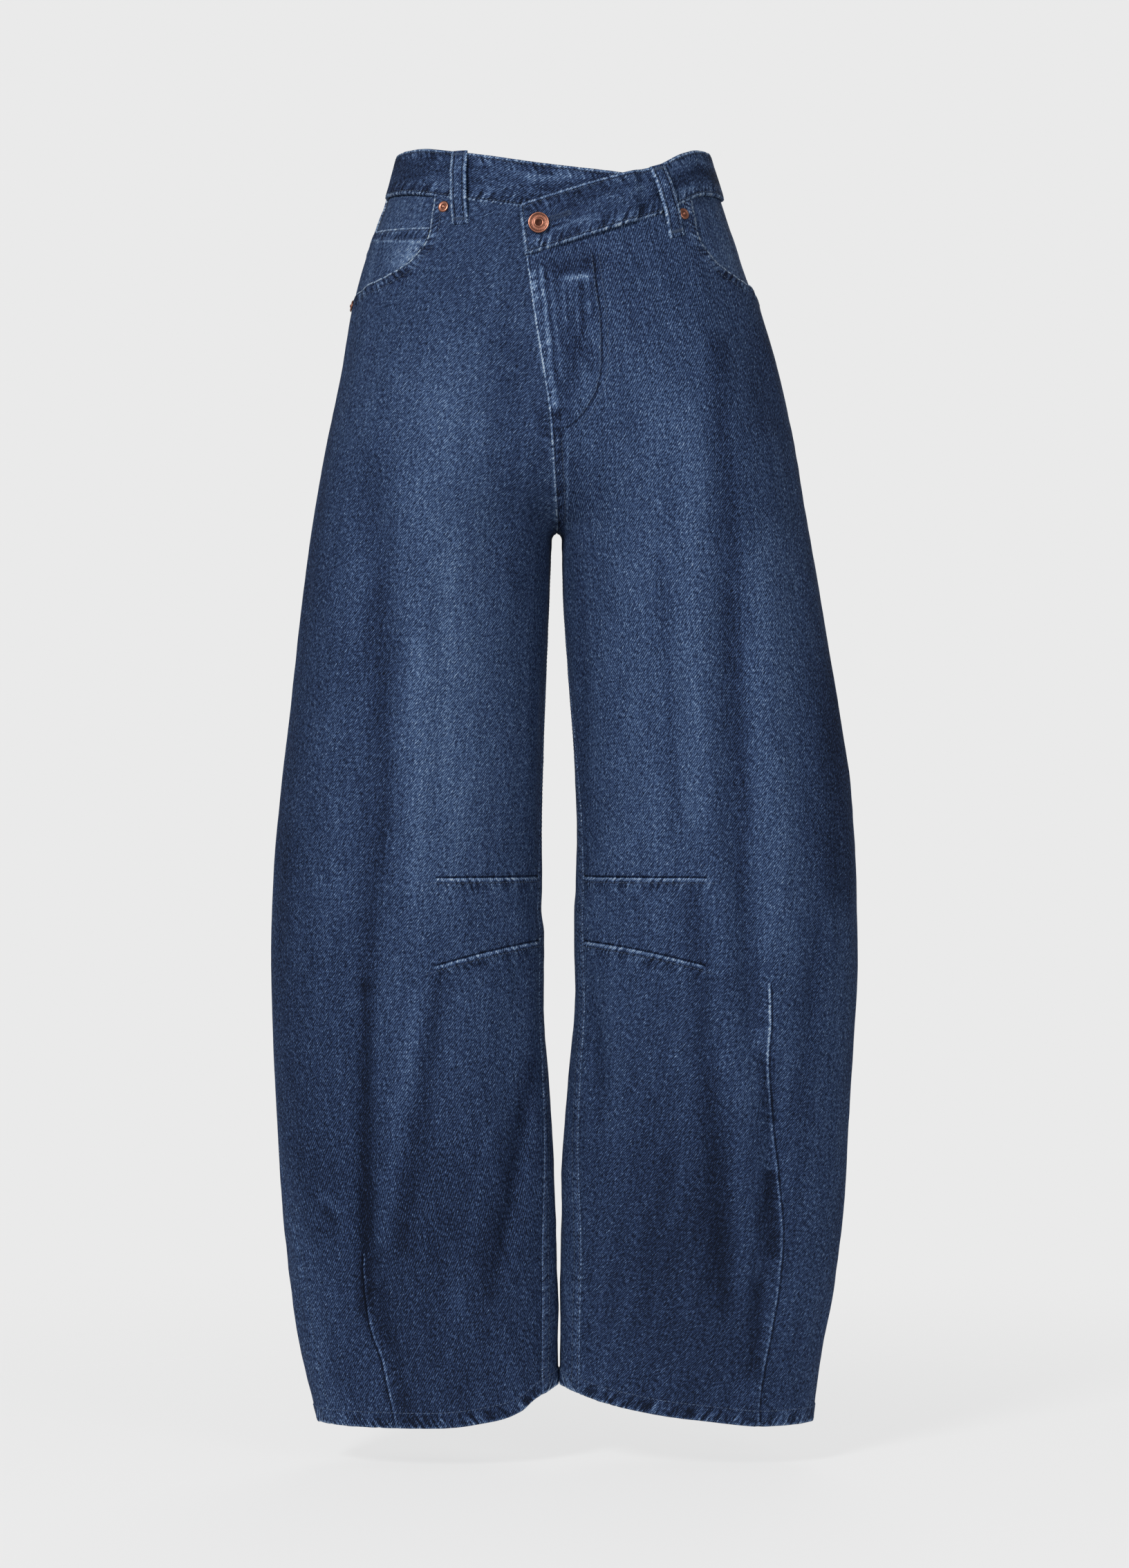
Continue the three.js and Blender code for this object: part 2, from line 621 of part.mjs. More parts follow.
// Back patch pockets with a pointed foot.
const POCKET_GAP = 24; // from the seat seam to the pocket
const POCKET_WIDE = 138;
const POCKET_TAPER = 7; // each side draws in by this much at the foot
const POCKET_TOP = [-142, -150]; // at the side and at the seat seam
const POCKET_TALL = 128;
const POCKET_POINT = 22;
const POCKET_OFF = 1.6; // gap between the pocket and the cloth that it is sewn to

function backPocket(side) {
  const draw = (z) => POCKET_TAPER * smooth(POCKET_TOP[1], POCKET_TOP[1] - POCKET_TALL, z);
  const top = (u) => between(POCKET_TOP[0], POCKET_TOP[1], u);
  return patch({
    side,
    isFront: false,
    columns: 10,
    thickness: CLOTH,
    out: POCKET_OFF + CLOTH,
    shares: [0, 0.14, 0.28, 0.42, 0.56, 0.7, 0.85, 1],
    start: (z, length) => length - POCKET_GAP - POCKET_WIDE + draw(z),
    end: (z, length) => length - POCKET_GAP - draw(z),
    top: (x, u) => top(u),
    foot: (x, u) => top(u) - POCKET_TALL - POCKET_POINT * (1 - Math.abs(2 * u - 1)),
  });
}

// Turns at which the front or back of the waist has a given place sideways.
function turnForX(side, isFront, x, z) {
  let [low, high] = [0, 2];
  const sign = isFront ? 1 : -1;
  const grows = side === "right";
  for (let i = 0; i < 24; i += 1) {
    const middle = (low + high) / 2;
    const found = clothPoint(side, sign * middle, z).x;
    if (found < x === grows) low = middle;
    else high = middle;
  }
  return (sign * (low + high)) / 2;
}

// A point on the face of the waist, front or back, by its place sideways and its height.
function waistPoint(isFront, x, z) {
  const middle = isFront ? flyX(z) : SEAT_X;
  const side = x < middle ? "right" : "left";
  const turn = turnForX(side, isFront, x, z);
  return { point: clothPoint(side, turn, z), normal: clothNormal(side, turn, z) };
}

// Waistband: one strip from its under end, round the back, to its over end.
const BAND_PITCH = 12;
const BAND_ROWS = 3;
const OVER_SLANT = 5; // the over end's lower corner lies this far inside its upper one
const overLift = (x) => OVER_LIFT * (1 - smooth(LIFT_FROM, LIFT_TO, x));

function bandStations() {
  const level = -20;
  const stations = [];
  const run = (part, isFront, from, to) => {
    const path = [];
    const steps = 400;
    for (let i = 0; i <= steps; i += 1) {
      const x = between(from, to, 0.5 - 0.5 * Math.cos((Math.PI * i) / steps));
      path.push(waistPoint(isFront, x, level).point);
    }
    const lengths = path.map((p, i) => (i ? p.distanceTo(path[i - 1]) : 0));
    const total = lengths.reduce((sum, length) => sum + length, 0);
    const count = Math.round(total / BAND_PITCH);
    let [travelled, next] = [0, 0];
    path.forEach((p, i) => {
      travelled += lengths[i];
      if (travelled >= (next * total) / count - 1e-6 && next < count) {
        stations.push({ part, isFront, x: p.x });
        next += 1;
      }
    });
  };
  const [right, left] = [outer.right(level), outer.left(level)];
  run("under", true, UNDER_END, right);
  run("back", false, right, left);
  run("over", true, left, OVER_END);
  stations.push({ part: "over", isFront: true, x: OVER_END });
  return stations;
}

function waistband() {
  const stations = bandStations();
  const last = stations.length - 1;
  const level = -20;
  const edges = { under: underEdge, back: backEdge, over: overEdge };
  return clothPiece(last, BAND_ROWS, BAND_THICK, (u, j) => {
    const { part, isFront, x } = stations[Math.round(u * last)];
    const v = j / BAND_ROWS;
    // Each station keeps its share of the half width, so that it stays on the sides as the waist widens.
    const side = x < (outer.right(level) + outer.left(level)) / 2 ? "right" : "left";
    const half = outer[side](level) - apex[side](level);
    const share = Math.max(0, (x - apex[side](level)) / half);
    const slant = part === "over" ? OVER_SLANT * smooth(40, OVER_END, x) * v : 0;
    let [px, z] = [x, level];
    for (let i = 0; i < 4; i += 1) {
      z = between(edges[part].top(px), edges[part].foot(px), v);
      px = x + (outer[side](z) - outer[side](level)) * share + slant;
    }
    return { ...waistPoint(isFront, px, z), out: BAND_OUT + (part === "over" ? overLift(px) : 0) };
  });
}

// Belt loops: folded strips that stand off the band in the middle and lie on the cloth at each end.
const LOOP_WIDE = 13;
const LOOP_THICK = 2;
const LOOP_LIFT = [
  { t: 0, off: BAND_OUT + SEAM },
  { t: 0.12, off: 2.6 },
  { t: 0.3, off: 4.6 },
  { t: 0.6, off: 4.6 },
  { t: 0.8, off: 2.9 },
  { t: 0.9, off: 0.9 },
  { t: 1, off: SEAM },
];
const loopLift = through(LOOP_LIFT, "t", "off");
const LOOPS = [
  { name: "belt_loop_front_right", isFront: true, x: -81, z: -11.6, xFoot: -81, zFoot: -71 },
  { name: "belt_loop_front_left", isFront: true, x: 76, z: -23, xFoot: 92.5, zFoot: -80 },
  { name: "belt_loop_back_right", isFront: false, x: -84, z: -9.6, xFoot: -90, zFoot: -69 },
  { name: "belt_loop_back_left", isFront: false, x: 74, z: -9.6, xFoot: 80, zFoot: -69 },
  { name: "belt_loop_centre_back", isFront: false, x: SEAT_X, z: -12.2, xFoot: SEAT_X, zFoot: -72 },
];

function beltLoop({ isFront, x, z, xFoot, zFoot }) {
  const rows = 10;
  const tilt = Math.atan2(xFoot - x, z - zFoot);
  const middle = waistPoint(isFront, (x + xFoot) / 2, (z + zFoot) / 2).normal;
  const foreshortened = Math.abs(middle.y);
  return clothPiece(2, rows, LOOP_THICK, (u, j) => {
    const t = j / rows;
    const across = (u - 0.5) * LOOP_WIDE;
    const px = between(x, xFoot, t) + across * Math.cos(tilt) * foreshortened;
    const pz = between(z, zFoot, t) + across * Math.sin(tilt);
    return { ...waistPoint(isFront, px, pz), out: loopLift(t) + LOOP_THICK };
  });
}

// Turned metal pieces, set along the cloth's normal.
function setOn(mesh, { point, normal }, off) {
  mesh.position.copy(point).addScaledVector(normal, off);
  mesh.quaternion.setFromUnitVectors(new THREE.Vector3(0, 1, 0), normal);
  return mesh;
}

const turned = (profile, segments) =>
  new THREE.LatheGeometry(profile.map(([r, h]) => new THREE.Vector2(r, h)), segments);

const BUTTON_RADIUS = 8.5;
const BUTTON_PROFILE = [
  [0, 0], [6.2, 0], [8.1, 1.6], [BUTTON_RADIUS, 2.5], [8.1, 3.3], [7, 3.1], [4.3, 2.7], [3.7, 3.2], [2.6, 3.1],
  [1.8, 2.5], [0, 2.4],
];
const RIVET_RADIUS = 4.75;
const RIVET_PROFILE = [
  [0, 0], [RIVET_RADIUS, 0], [RIVET_RADIUS, 0.5], [3.8, 1.2], [1.7, 0.9], [1.2, 1.8], [0, 2],
];

// Materials
const cloth = (color) => new THREE.MeshStandardMaterial({ color, roughness: 0.92, metalness: 0 });
const DENIM = cloth(0x2f4266);
const DENIM_WORN = cloth(0x3b5078);
const DENIM_DARK = cloth(0x27375a);
const COPPER = new THREE.MeshStandardMaterial({ color: 0xc07a58, roughness: 0.35, metalness: 1 });

const jeans = new THREE.Group();
function add(name, geometry, material) {
  const mesh = new THREE.Mesh(geometry, material);
  mesh.name = name;
  jeans.add(mesh);
  return mesh;
}

add("waistband", waistband(), DENIM_DARK);
for (const side of ["right", "left"]) {
  add("front_" + side, frontPanel(side), DENIM);
  add("back_" + side, backPanel(side), DENIM);
  add("yoke_" + side, yoke(side), DENIM_DARK);
  add("pocket_facing_" + side, facing(side), DENIM_WORN);
  add("back_pocket_" + side, backPocket(side), DENIM_WORN);
}
add("coin_pocket", coinPocket(), DENIM_WORN);
for (const loop of LOOPS) add(loop.name, beltLoop(loop), DENIM_WORN);

const BUTTON_AT = { x: -18.1, z: -72 };
setOn(
  add("button", turned(BUTTON_PROFILE, 24), COPPER),
  waistPoint(true, BUTTON_AT.x, BUTTON_AT.z),
  BAND_OUT + OVER_LIFT + SEAM,
);

const MOUTH_RIVETS = [
  { name: "rivet_mouth_right", x: -94.5, z: -56 },
  { name: "rivet_mouth_left", x: 98.5, z: -60.6 },
];
for (const { name, x, z } of MOUTH_RIVETS) {
  setOn(add(name, turned(RIVET_PROFILE, 12), COPPER), waistPoint(true, x, z), SEAM);
}

// One more rivet at the foot of each pocket mouth, close to the side seam.
const SIDE_RIVET = { s: 8, z: -127 };
for (const side of ["right", "left"]) {
  const turn = row(side, sideTurn[side](SIDE_RIVET.z), 2, SIDE_RIVET.z).turnAt(SIDE_RIVET.s);
  const placed = {
    point: clothPoint(side, turn, SIDE_RIVET.z),
    normal: clothNormal(side, turn, SIDE_RIVET.z),
  };
  setOn(add("rivet_side_" + side, turned(RIVET_PROFILE, 12), COPPER), placed, SEAM);
}

export default jeans;
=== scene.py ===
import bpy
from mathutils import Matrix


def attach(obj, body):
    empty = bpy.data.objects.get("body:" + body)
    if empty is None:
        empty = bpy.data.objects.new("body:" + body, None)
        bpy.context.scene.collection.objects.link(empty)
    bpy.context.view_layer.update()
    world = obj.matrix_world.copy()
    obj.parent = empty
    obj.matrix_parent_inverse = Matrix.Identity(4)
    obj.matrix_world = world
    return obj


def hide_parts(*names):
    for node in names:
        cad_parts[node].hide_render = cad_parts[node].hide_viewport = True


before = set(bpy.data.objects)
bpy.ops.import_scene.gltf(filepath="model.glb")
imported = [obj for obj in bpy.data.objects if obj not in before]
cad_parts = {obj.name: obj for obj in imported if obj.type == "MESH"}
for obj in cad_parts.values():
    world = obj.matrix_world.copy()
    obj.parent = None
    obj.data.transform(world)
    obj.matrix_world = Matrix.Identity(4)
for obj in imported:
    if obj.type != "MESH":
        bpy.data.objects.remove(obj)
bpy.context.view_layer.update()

import math

import bpy
import numpy as np
from mathutils import Vector

# Studio: the photograph's straight view from the front, 3.4 m away, in soft white light from all round.
# The pale floor lies a little below the hems and fades into the background.
# Lengths in this file are millimetres and turn into metres where a mesh is made.
EYE = (2.56, -3400.0, -519.7)
VIEW_TALL = 1292.3  # height that the photograph takes in at the middle of the garment
SENSOR = 24.0
MM = 0.001


def placed(name, data):
    """A new object in the scene for a mesh, a light or a camera."""
    made = bpy.data.objects.new(name, data)
    bpy.context.collection.objects.link(made)
    return made


camera_data = bpy.data.cameras.new("studio_camera")
camera_data.sensor_width = SENSOR
camera_data.lens = SENSOR * -EYE[1] / VIEW_TALL
camera = placed("studio_camera", camera_data)
camera.location = [c * MM for c in EYE]
camera.rotation_euler = (math.pi / 2, 0, 0)
bpy.context.scene.camera = camera
bpy.context.scene.view_settings.view_transform = "Standard"


def linear(red, green, blue):
    """A colour given in the usual 0 to 255 as the shader's linear numbers."""
    shares = [c / 255 for c in (red, green, blue)]
    return [((c + 0.055) / 1.055) ** 2.4 if c > 0.04 else c / 12.92 for c in shares] + [1.0]


class Wire:
    """One output in a node tree, on which sums can be written."""

    def __init__(self, tree, socket):
        self.tree, self.socket = tree, socket

    def sum(self, operation, *values):
        return self.tree.node("ShaderNodeMath", {"operation": operation}, dict(enumerate(values)))

    def __add__(self, other):
        return self.sum("ADD", self, other)

    def __sub__(self, other):
        return self.sum("SUBTRACT", self, other)

    def __rsub__(self, other):
        return self.sum("SUBTRACT", other, self)

    def __mul__(self, other):
        return self.sum("MULTIPLY", self, other)

    def __truediv__(self, other):
        return self.sum("DIVIDE", self, other)

    def __abs__(self):
        return self.sum("ABSOLUTE", self)

    __radd__ = __add__
    __rmul__ = __mul__

    def sine(self):
        return self.sum("SINE", self)

    def clamped(self):
        return self.tree.node("ShaderNodeClamp", {}, {"Value": self})

    def near(self, reach):
        """1 at nothing, falling smoothly to 0 at the reach."""
        ends = {"Value": self, "From Min": 0.0, "From Max": reach, "To Min": 1.0, "To Max": 0.0}
        return self.tree.node("ShaderNodeMapRange", {"interpolation_type": "SMOOTHSTEP"}, ends)

    def parts(self):
        split = self.tree.node("ShaderNodeSeparateXYZ", {}, {0: self})
        return [split.other(axis) for axis in "XYZ"]

    def other(self, output):
        return Wire(self.tree, self.socket.node.outputs[output])


class Tree:
    """A node tree that is being built, for a material or for geometry."""

    def __init__(self, tree):
        self.tree = tree
        tree.nodes.clear()

    def node(self, kind, settings=None, inputs=None, output=0):
        made = self.tree.nodes.new(kind)
        for name, value in (settings or {}).items():
            if name == "stops":
                ramp = made.color_ramp
                while len(ramp.elements) < len(value):
                    ramp.elements.new(0.5)
                for element, (position, colour) in zip(ramp.elements, value):
                    element.position, element.color = position, colour
            else:
                setattr(made, name, value)
        for name, value in (inputs or {}).items():
            if isinstance(value, Wire):
                self.tree.links.new(value.socket, made.inputs[name])
            else:
                made.inputs[name].default_value = value
        return Wire(self, made.outputs[output]) if len(made.outputs) else made


def material(name):
    made = bpy.data.materials.new(name)
    made.use_nodes = True
    return made, Tree(made.node_tree)


def finish_surface(tree, shader):
    tree.node("ShaderNodeOutputMaterial", {}, {"Surface": shader})


BACKGROUND = linear(234, 234, 234)
AMBIENT = 0.34  # the share of the background's brightness that lights the garment
FLOOR_Z = -1078.0
FLOOR_RADIUS = 1500.0
FLOOR_GLOW = 0.84  # the share of the background's brightness that the floor has of its own
FLOOR_CORNERS = 64
world = bpy.data.worlds.new("studio")
bpy.context.scene.world = world
world.use_nodes = True
sky = Tree(world.node_tree)
seen_directly = sky.node("ShaderNodeLightPath", output="Is Camera Ray")
strength = seen_directly * (1 - AMBIENT) + AMBIENT
glow = sky.node("ShaderNodeBackground", {}, {"Color": BACKGROUND, "Strength": strength})
sky.node("ShaderNodeOutputWorld", {}, {"Surface": glow})

floor_finish, tree = material("pale_floor")
place = tree.node("ShaderNodeTexCoord", output="Object")
away = tree.node("ShaderNodeVectorMath", {"operation": "LENGTH"}, {0: place}, "Value")
pale = tree.node("ShaderNodeBsdfPrincipled", {}, {
    "Base Color": linear(110, 110, 110), "Roughness": 0.9, "Specular IOR Level": 0.05,
    "Emission Color": BACKGROUND, "Emission Strength": FLOOR_GLOW,
})
clear = tree.node("ShaderNodeBsdfTransparent")
shown = tree.node(
    "ShaderNodeMapRange",
    {"interpolation_type": "SMOOTHSTEP"},
    {"Value": away, "From Min": 0.25, "From Max": FLOOR_RADIUS * MM * 0.95, "To Min": 1.0, "To Max": 0.0},
)
finish_surface(tree, tree.node("ShaderNodeMixShader", {}, {0: shown, 1: clear, 2: pale}))

floor_mesh = bpy.data.meshes.new("floor")
corners = np.linspace(0, 2 * math.pi, FLOOR_CORNERS + 1)[:-1]
rim = [(math.cos(a) * FLOOR_RADIUS * MM, math.sin(a) * FLOOR_RADIUS * MM, 0) for a in corners]
floor_mesh.from_pydata(rim, [], [list(range(FLOOR_CORNERS))])
floor_mesh.materials.append(floor_finish)
floor = placed("floor", floor_mesh)
floor.location = (0, 0, FLOOR_Z * MM)

LIT_PLACE = (0, 0, -0.5)  # in metres, as the lights' own places and sizes are
for name, place, size, power in (
    ("key_light", (-1.5, -2.9, 1.2), 0.9, 90),
    ("fill_light", (1.9, -2.9, 0.3), 1.4, 26),
    ("back_light", (0.5, 2.8, 1.2), 2.0, 24),
):
    light_data = bpy.data.lights.new(name, "AREA")
    light_data.shape, light_data.size, light_data.energy = "DISK", size, power
    light = placed(name, light_data)
    light.location = place
    light.rotation_euler = (Vector(LIT_PLACE) - Vector(place)).to_track_quat("-Z", "Y").to_euler()

# Fronts: two panels of mid-blue denim twill, cut to a round pocket mouth at the hip and a barrel leg below.
# Each has two darts sewn across the knee and one up from the hem; the wearer's left laps over the right
# at the fly. The hems are turned up and topstitched, and the inseams are felled to the backs.
CLOTH = 1.4
SEAM = 0.3
CROTCH = -313.0
FRONT_RISE_START = -235.0  # where the front seam starts to curve under
SEAT_RISE_START = -205.0
CROTCH_ROUND = 6.0
CROTCH_BLEND = 70.0
CROTCH_LOCAL = 10
HIP_LINE = -160.0
HEM_LINE = -985.0
SEAT_X = -5.0
OTHER = {"right": "left", "left": "right"}

# Height, outline right and left, depth front and back, and the foremost point of the right and left leg
OUTLINE = np.array([
    (0, -134, 121.5, 92, 92, -26, 14),
    (-38, -144.5, 133, 96, 98, -36, 24),
    (-78, -159, 146.5, 100, 107, -47, 37),
    (-130, -172.6, 164, 103, 118, -62, 54),
    (-181, -181.2, 179, 104, 125, -76, 69),
    (-250, -195.4, 193.7, 102, 122, -93, 88),
    (-318, -206.8, 204.6, 98, 107, -106, 101),
    (-386, -215.4, 216, 94, 97, -113, 109),
    (-455, -222.8, 228.5, 90, 92, -118.5, 118),
    (-523, -230.8, 238.5, 86, 89, -123, 124.5),
    (-592, -237, 243.3, 82, 88, -126.5, 127.5),
    (-660, -239.2, 244, 80, 87, -127, 127.5),
    (-728, -237.6, 240.7, 77, 84, -125, 124.5),
    (-797, -234.2, 236.5, 72, 79, -121.5, 120),
    (-865, -229.6, 232.7, 67, 73, -117.5, 116.5),
    (-933, -222.8, 225, 61, 66, -113, 112),
    (-985, -214.8, 215, 56, 60, -108.5, 107),
    (-1050, -199.5, 206.5, 52, 54, -101, 103),
])
FLY_LINE = np.array([
    (0, -36), (-57, -32.7), (-97, -28), (-142, -22), (-195, -13.3), (-226, -9), (-270, -6.3), (CROTCH, -3.7),
])
# Height, and where the right and left leg face each other
INSIDE = np.array([
    (CROTCH, -8, 0.6), (-352, -9.7, 1.2), (-420, -12.5, 5.1), (-489, -14.8, 9.7), (-557, -16, 12.4),
    (-605, -16, 12), (-622, -16.6, 10.6), (-643, -14.2, 10.2), (-694, -14.2, 10.8), (-762, -10.3, 5.7),
    (-831, -6.6, 1.2), (-899, -4.6, -0.2), (-950, -2.8, -1.4), (-1050, -2.8, -1.4),
])
# Height, and how far the side seam (right, left) and the inseam (right, left) turn to the front
SEAM_TURN = np.array([
    (0, 0, -0.12, 0, 0), (CROTCH, 0, -0.12, 0, 0), (-600, 0, -0.12, 0.13, 0.2),
    (-790, 0.04, -0.12, 0.2, 0.27), (-930, 0.33, -0.12, 0.3, 0.35), (-1050, 0.33, -0.12, 0.33, 0.35),
])
# Place sideways, and the band's top and foot there, for its under end, its over end and its back
UNDER_EDGE = np.array([
    (-150, -4.5, -37), (-119, -5, -42), (-87, -11, -49.5), (-31, -20.5, -57.6), (13, -26, -63),
    (60, -31, -68),
])
OVER_EDGE = np.array([
    (-34, -57, -98.6), (13, -41.5, -83.5), (51, -30.5, -71.5), (77, -22.6, -62.5), (100, -9, -50),
    (114, -4, -42), (140, -3, -38),
])
# Place sideways, and the hem's height there
HEM_EDGE = {
    "right": np.array([
        (-201, -1043), (-100, -1042.5), (-51, -1037), (-33, -1031), (-20, -1021), (-2, -1013),
    ]),
    "left": np.array([
        (-2, -1013), (12, -1017), (33, -1023), (80, -1032), (120, -1037), (168, -1042.5), (208, -1043),
    ]),
}
# Height, and how far the pocket mouth lies there from the side seam
POCKET_MOUTH = np.array([
    (-40, 92), (-66, 101), (-79.5, 104.5), (-90, 100.5), (-99, 93), (-109, 72), (-114, 50), (-118, 26),
    (-121, 0),
])
# Each fold is a trough along a bent line through three places (across, height), then its width and depth.
FRONT_FOLDS = [
    (-160, -230, -153, -470, -160, -720, 17, 6),
    (-160, -640, -159, -850, -141, -1030, 18, 8),
    (-81, -688, -109, -757, -124, -880, 14, 4),
    (-24, -728, -36, -842, -64, -960, 13, 4),
    (-32, -150, -47, -261, -58, -400, 17, 4),
    (134, -340, 143, -557, 161, -770, 14, 6),
    (160, -720, 171, -842, 157, -1020, 15, 6),
    (82, -370, 101, -591, 119, -800, 15, 5),
    (117, -750, 130, -899, 141, -1020, 15, 5),
    (119, -101, 160, -193, 186, -260, 17, 4),
    (23, -640, 27, -720, 40, -810, 12, 4),
]
BACK_FOLDS = [
    (-70, -305, -88, -420, -84, -640, 18, 7),
    (-152, -310, -168, -520, -160, -760, 17, 6),
    (-100, -600, -124, -800, -108, -1010, 18, 7),
    (-44, -720, -56, -860, -46, -1000, 14, 4),
    (66, -305, 84, -410, 90, -620, 18, 7),
    (150, -320, 172, -560, 164, -800, 17, 6),
    (96, -590, 118, -790, 112, -1000, 18, 7),
    (40, -700, 50, -850, 44, -990, 14, 4),
]
# Finer creases and, with a negative depth, ridges, at their places in the photograph's view
FRONT_CREASES = [
    (-160, -240, -145, -352, -152, -560, 8, 2.0),
    (-152, -520, -160, -630, -161, -720, 7, 2.5),
    (-161, -670, -163, -830, -150, -985, 5, 4.5),
    (-157, -930, -142, -995, -121, -1040, 6, 3),
    (-105, -230, -117, -500, -118, -660, 13, -2.5),
    (-98, -660, -107, -750, -132, -920, 6, 2.5),
    (-24, -735, -35, -831, -61, -950, 6, 2.5),
    (130, -160, 141, -430, 147, -570, 8, 2.0),
    (146, -530, 153, -640, 163, -750, 6, 3),
    (162, -725, 173, -860, 164, -930, 5, 4),
    (166, -900, 160, -960, 155, -1030, 6, 3),
    (81, -315, 96, -557, 110, -610, 5, 1.6),
    (108, -215, 108, -380, 112, -560, 12, -2.0),
    (168, -350, 176, -500, 184, -650, 13, -2.5),
    (107, -600, 124, -780, 136, -960, 6, 3),
    (210, -620, 206, -700, 197, -800, 6, 2.5),
    (26, -690, 29, -740, 36, -800, 6, 1.6),
    (16, -325, 19, -470, 22, -620, 4, 1.2),
]
FOLD_FADE = 70.0
EVEN_TO_SHARED = (-180.0, -262.0)  # heights between which columns stop lying evenly on each row


def through(at, values):
    """A smooth curve through a table's rows that never overshoots them."""
    order = np.argsort(at)
    at, values = at[order], values[order]
    slope = np.diff(values) / np.diff(at)
    tangent = np.concatenate([slope[:1], np.zeros(len(at) - 2), slope[-1:]])
    before, after = slope[:-1], slope[1:]
    same = before * after > 0
    tangent[1:-1][same] = 2 * before[same] * after[same] / (before[same] + after[same])

    def curve(wanted):
        p = np.clip(wanted, at[0], at[-1])
        i = np.clip(np.searchsorted(at, p) - 1, 0, len(at) - 2)
        step = at[i + 1] - at[i]
        t = (p - at[i]) / step
        t2, t3 = t * t, t * t * t
        ends = values[i] * (2 * t3 - 3 * t2 + 1) + values[i + 1] * (3 * t2 - 2 * t3)
        return ends + step * (tangent[i] * (t3 - 2 * t2 + t) + tangent[i + 1] * (t3 - t2))

    return curve


def smooth(a, b, p):
    t = np.clip((p - a) / (b - a), 0, 1)
    return t * t * (3 - 2 * t)


def mixed(a, b, t):
    return a + (b - a) * t


def column(table, number):
    return through(table[:, 0], table[:, number])


outer = {"right": column(OUTLINE, 1), "left": column(OUTLINE, 2)}
depth = {True: column(OUTLINE, 3), False: column(OUTLINE, 4)}
apex = {"right": column(OUTLINE, 5), "left": column(OUTLINE, 6)}
inside = {"right": column(INSIDE, 1), "left": column(INSIDE, 2)}
side_turn = {"right": column(SEAM_TURN, 1), "left": column(SEAM_TURN, 2)}
inseam_turn = {"right": column(SEAM_TURN, 3), "left": column(SEAM_TURN, 4)}
fly_x = column(FLY_LINE, 1)
mouth = column(POCKET_MOUTH, 1)
hem = {side: column(HEM_EDGE[side], 1) for side in OTHER}


def seat_x(z):
    return mixed(SEAT_X, fly_x(CROTCH), smooth(SEAT_RISE_START, CROTCH, z))


def trough(folds, x, z):
    """How far the folds push the cloth inwards."""
    total = np.zeros(np.shape(x))
    for x0, z0, x1, z1, x2, z2, wide, deep in folds:
        t = (z0 - z) / (z0 - z2)
        m = (z0 - z1) / (z0 - z2)
        bend = (x1 - mixed(x0, x2, m)) / (m * (1 - m))
        middle = mixed(x0, x2, t) + bend * t * (1 - t)
        fade_length = min(FOLD_FADE, (z0 - z2) / 2)
        fade = smooth(0, fade_length, z0 - z) * smooth(0, fade_length, z - z2)
        total += deep * fade * np.exp(-(((x - middle) / wide) ** 2))
    return total


def as_seen(x, y, z):
    """Where the photograph's view shows a point, across and up, at the scale of the garment's middle."""
    nearer = -EYE[1] / (y - EYE[1])
    return EYE[0] + (x - EYE[0]) * nearer, EYE[2] + (z - EYE[2]) * nearer


def seen_at(points):
    """Where the photograph's view shows a grid of points."""
    return as_seen(*np.moveaxis(points, -1, 0))


def half_section(side, turn, z):
    """Points of one side's level sections: half an oval outwards, and inwards a squarer end that lies flat to
    the closure line and closes round the leg below the crotch. Folds and creases press them in."""
    front = turn >= 0
    share = np.abs(turn)
    top = apex[side](z)
    full = np.where(front, depth[True](z), depth[False](z))
    first = np.minimum(share, 1) * math.pi / 2
    angle = np.clip(share - 1, 0, 1) * math.pi / 2
    out = np.sin(angle)
    middle = np.where(front, fly_x(z), seat_x(z)) + (-SEAM / 2 if side == "right" else SEAM / 2)
    t = np.clip((CROTCH - z) / CROTCH_ROUND, 0, 1)
    local = out**CROTCH_LOCAL
    opened = np.sqrt(1 - (1 - t) ** 2) * local + smooth(CROTCH, CROTCH - CROTCH_BLEND, z) * (out - local)
    inner_x = top + (middle - top) * out + np.where(z < CROTCH, (inside[side](z) - middle) * opened, 0)
    start = np.where(front, FRONT_RISE_START, SEAT_RISE_START)
    fallen = np.clip((start - z) / (start - CROTCH), 0, 1)
    rise = (np.maximum(SEAM / 2, full * np.sqrt(1 - fallen**2)) / full) ** 4
    inner_y = full * (np.cos(angle) ** 4 * (1 - rise) + rise) ** 0.25
    outwards = share <= 1
    x = np.where(outwards, top + (outer[side](z) - top) * np.cos(first), inner_x)
    y = np.where(outwards, full * np.sin(first), inner_y)
    seen = as_seen(x, -y, z)
    pushed = trough(FRONT_FOLDS, x, z) + trough(FRONT_CREASES, *seen) * smooth(6, 30, y)
    y = y - np.where(front, pushed, trough(BACK_FOLDS, x, z))
    return np.stack([x, np.where(front, -y, y), z], axis=-1)


def with_over_part(one_side, side, turn, z):
    """What one_side gives for a side's cloth, and for the other side where turns run on past 2."""
    turn, z = np.broadcast_arrays(np.asarray(turn, float), np.asarray(z, float))
    turn = np.where(turn < -2, turn + 4, turn)
    past = turn > 2
    here = one_side(side, np.where(past, 2, turn), z)
    if not past.any():
        return here
    return np.where(past[..., None], one_side(OTHER[side], np.where(past, 4 - turn, 2), z), here)


def cloth_point(side, turn, z):
    """A point of the cloth's face. Turn 0 is the outermost point of the side, 1 the foremost, 2 the inner
    end; negative turns run round the back. Past 2 the cloth runs on over the other side."""
    return with_over_part(half_section, side, turn, z)


def unit(vectors):
    return vectors / np.maximum(np.linalg.norm(vectors, axis=-1, keepdims=True), 1e-9)


NUDGE_UP = 0.6
NUDGE_TURN = 0.02


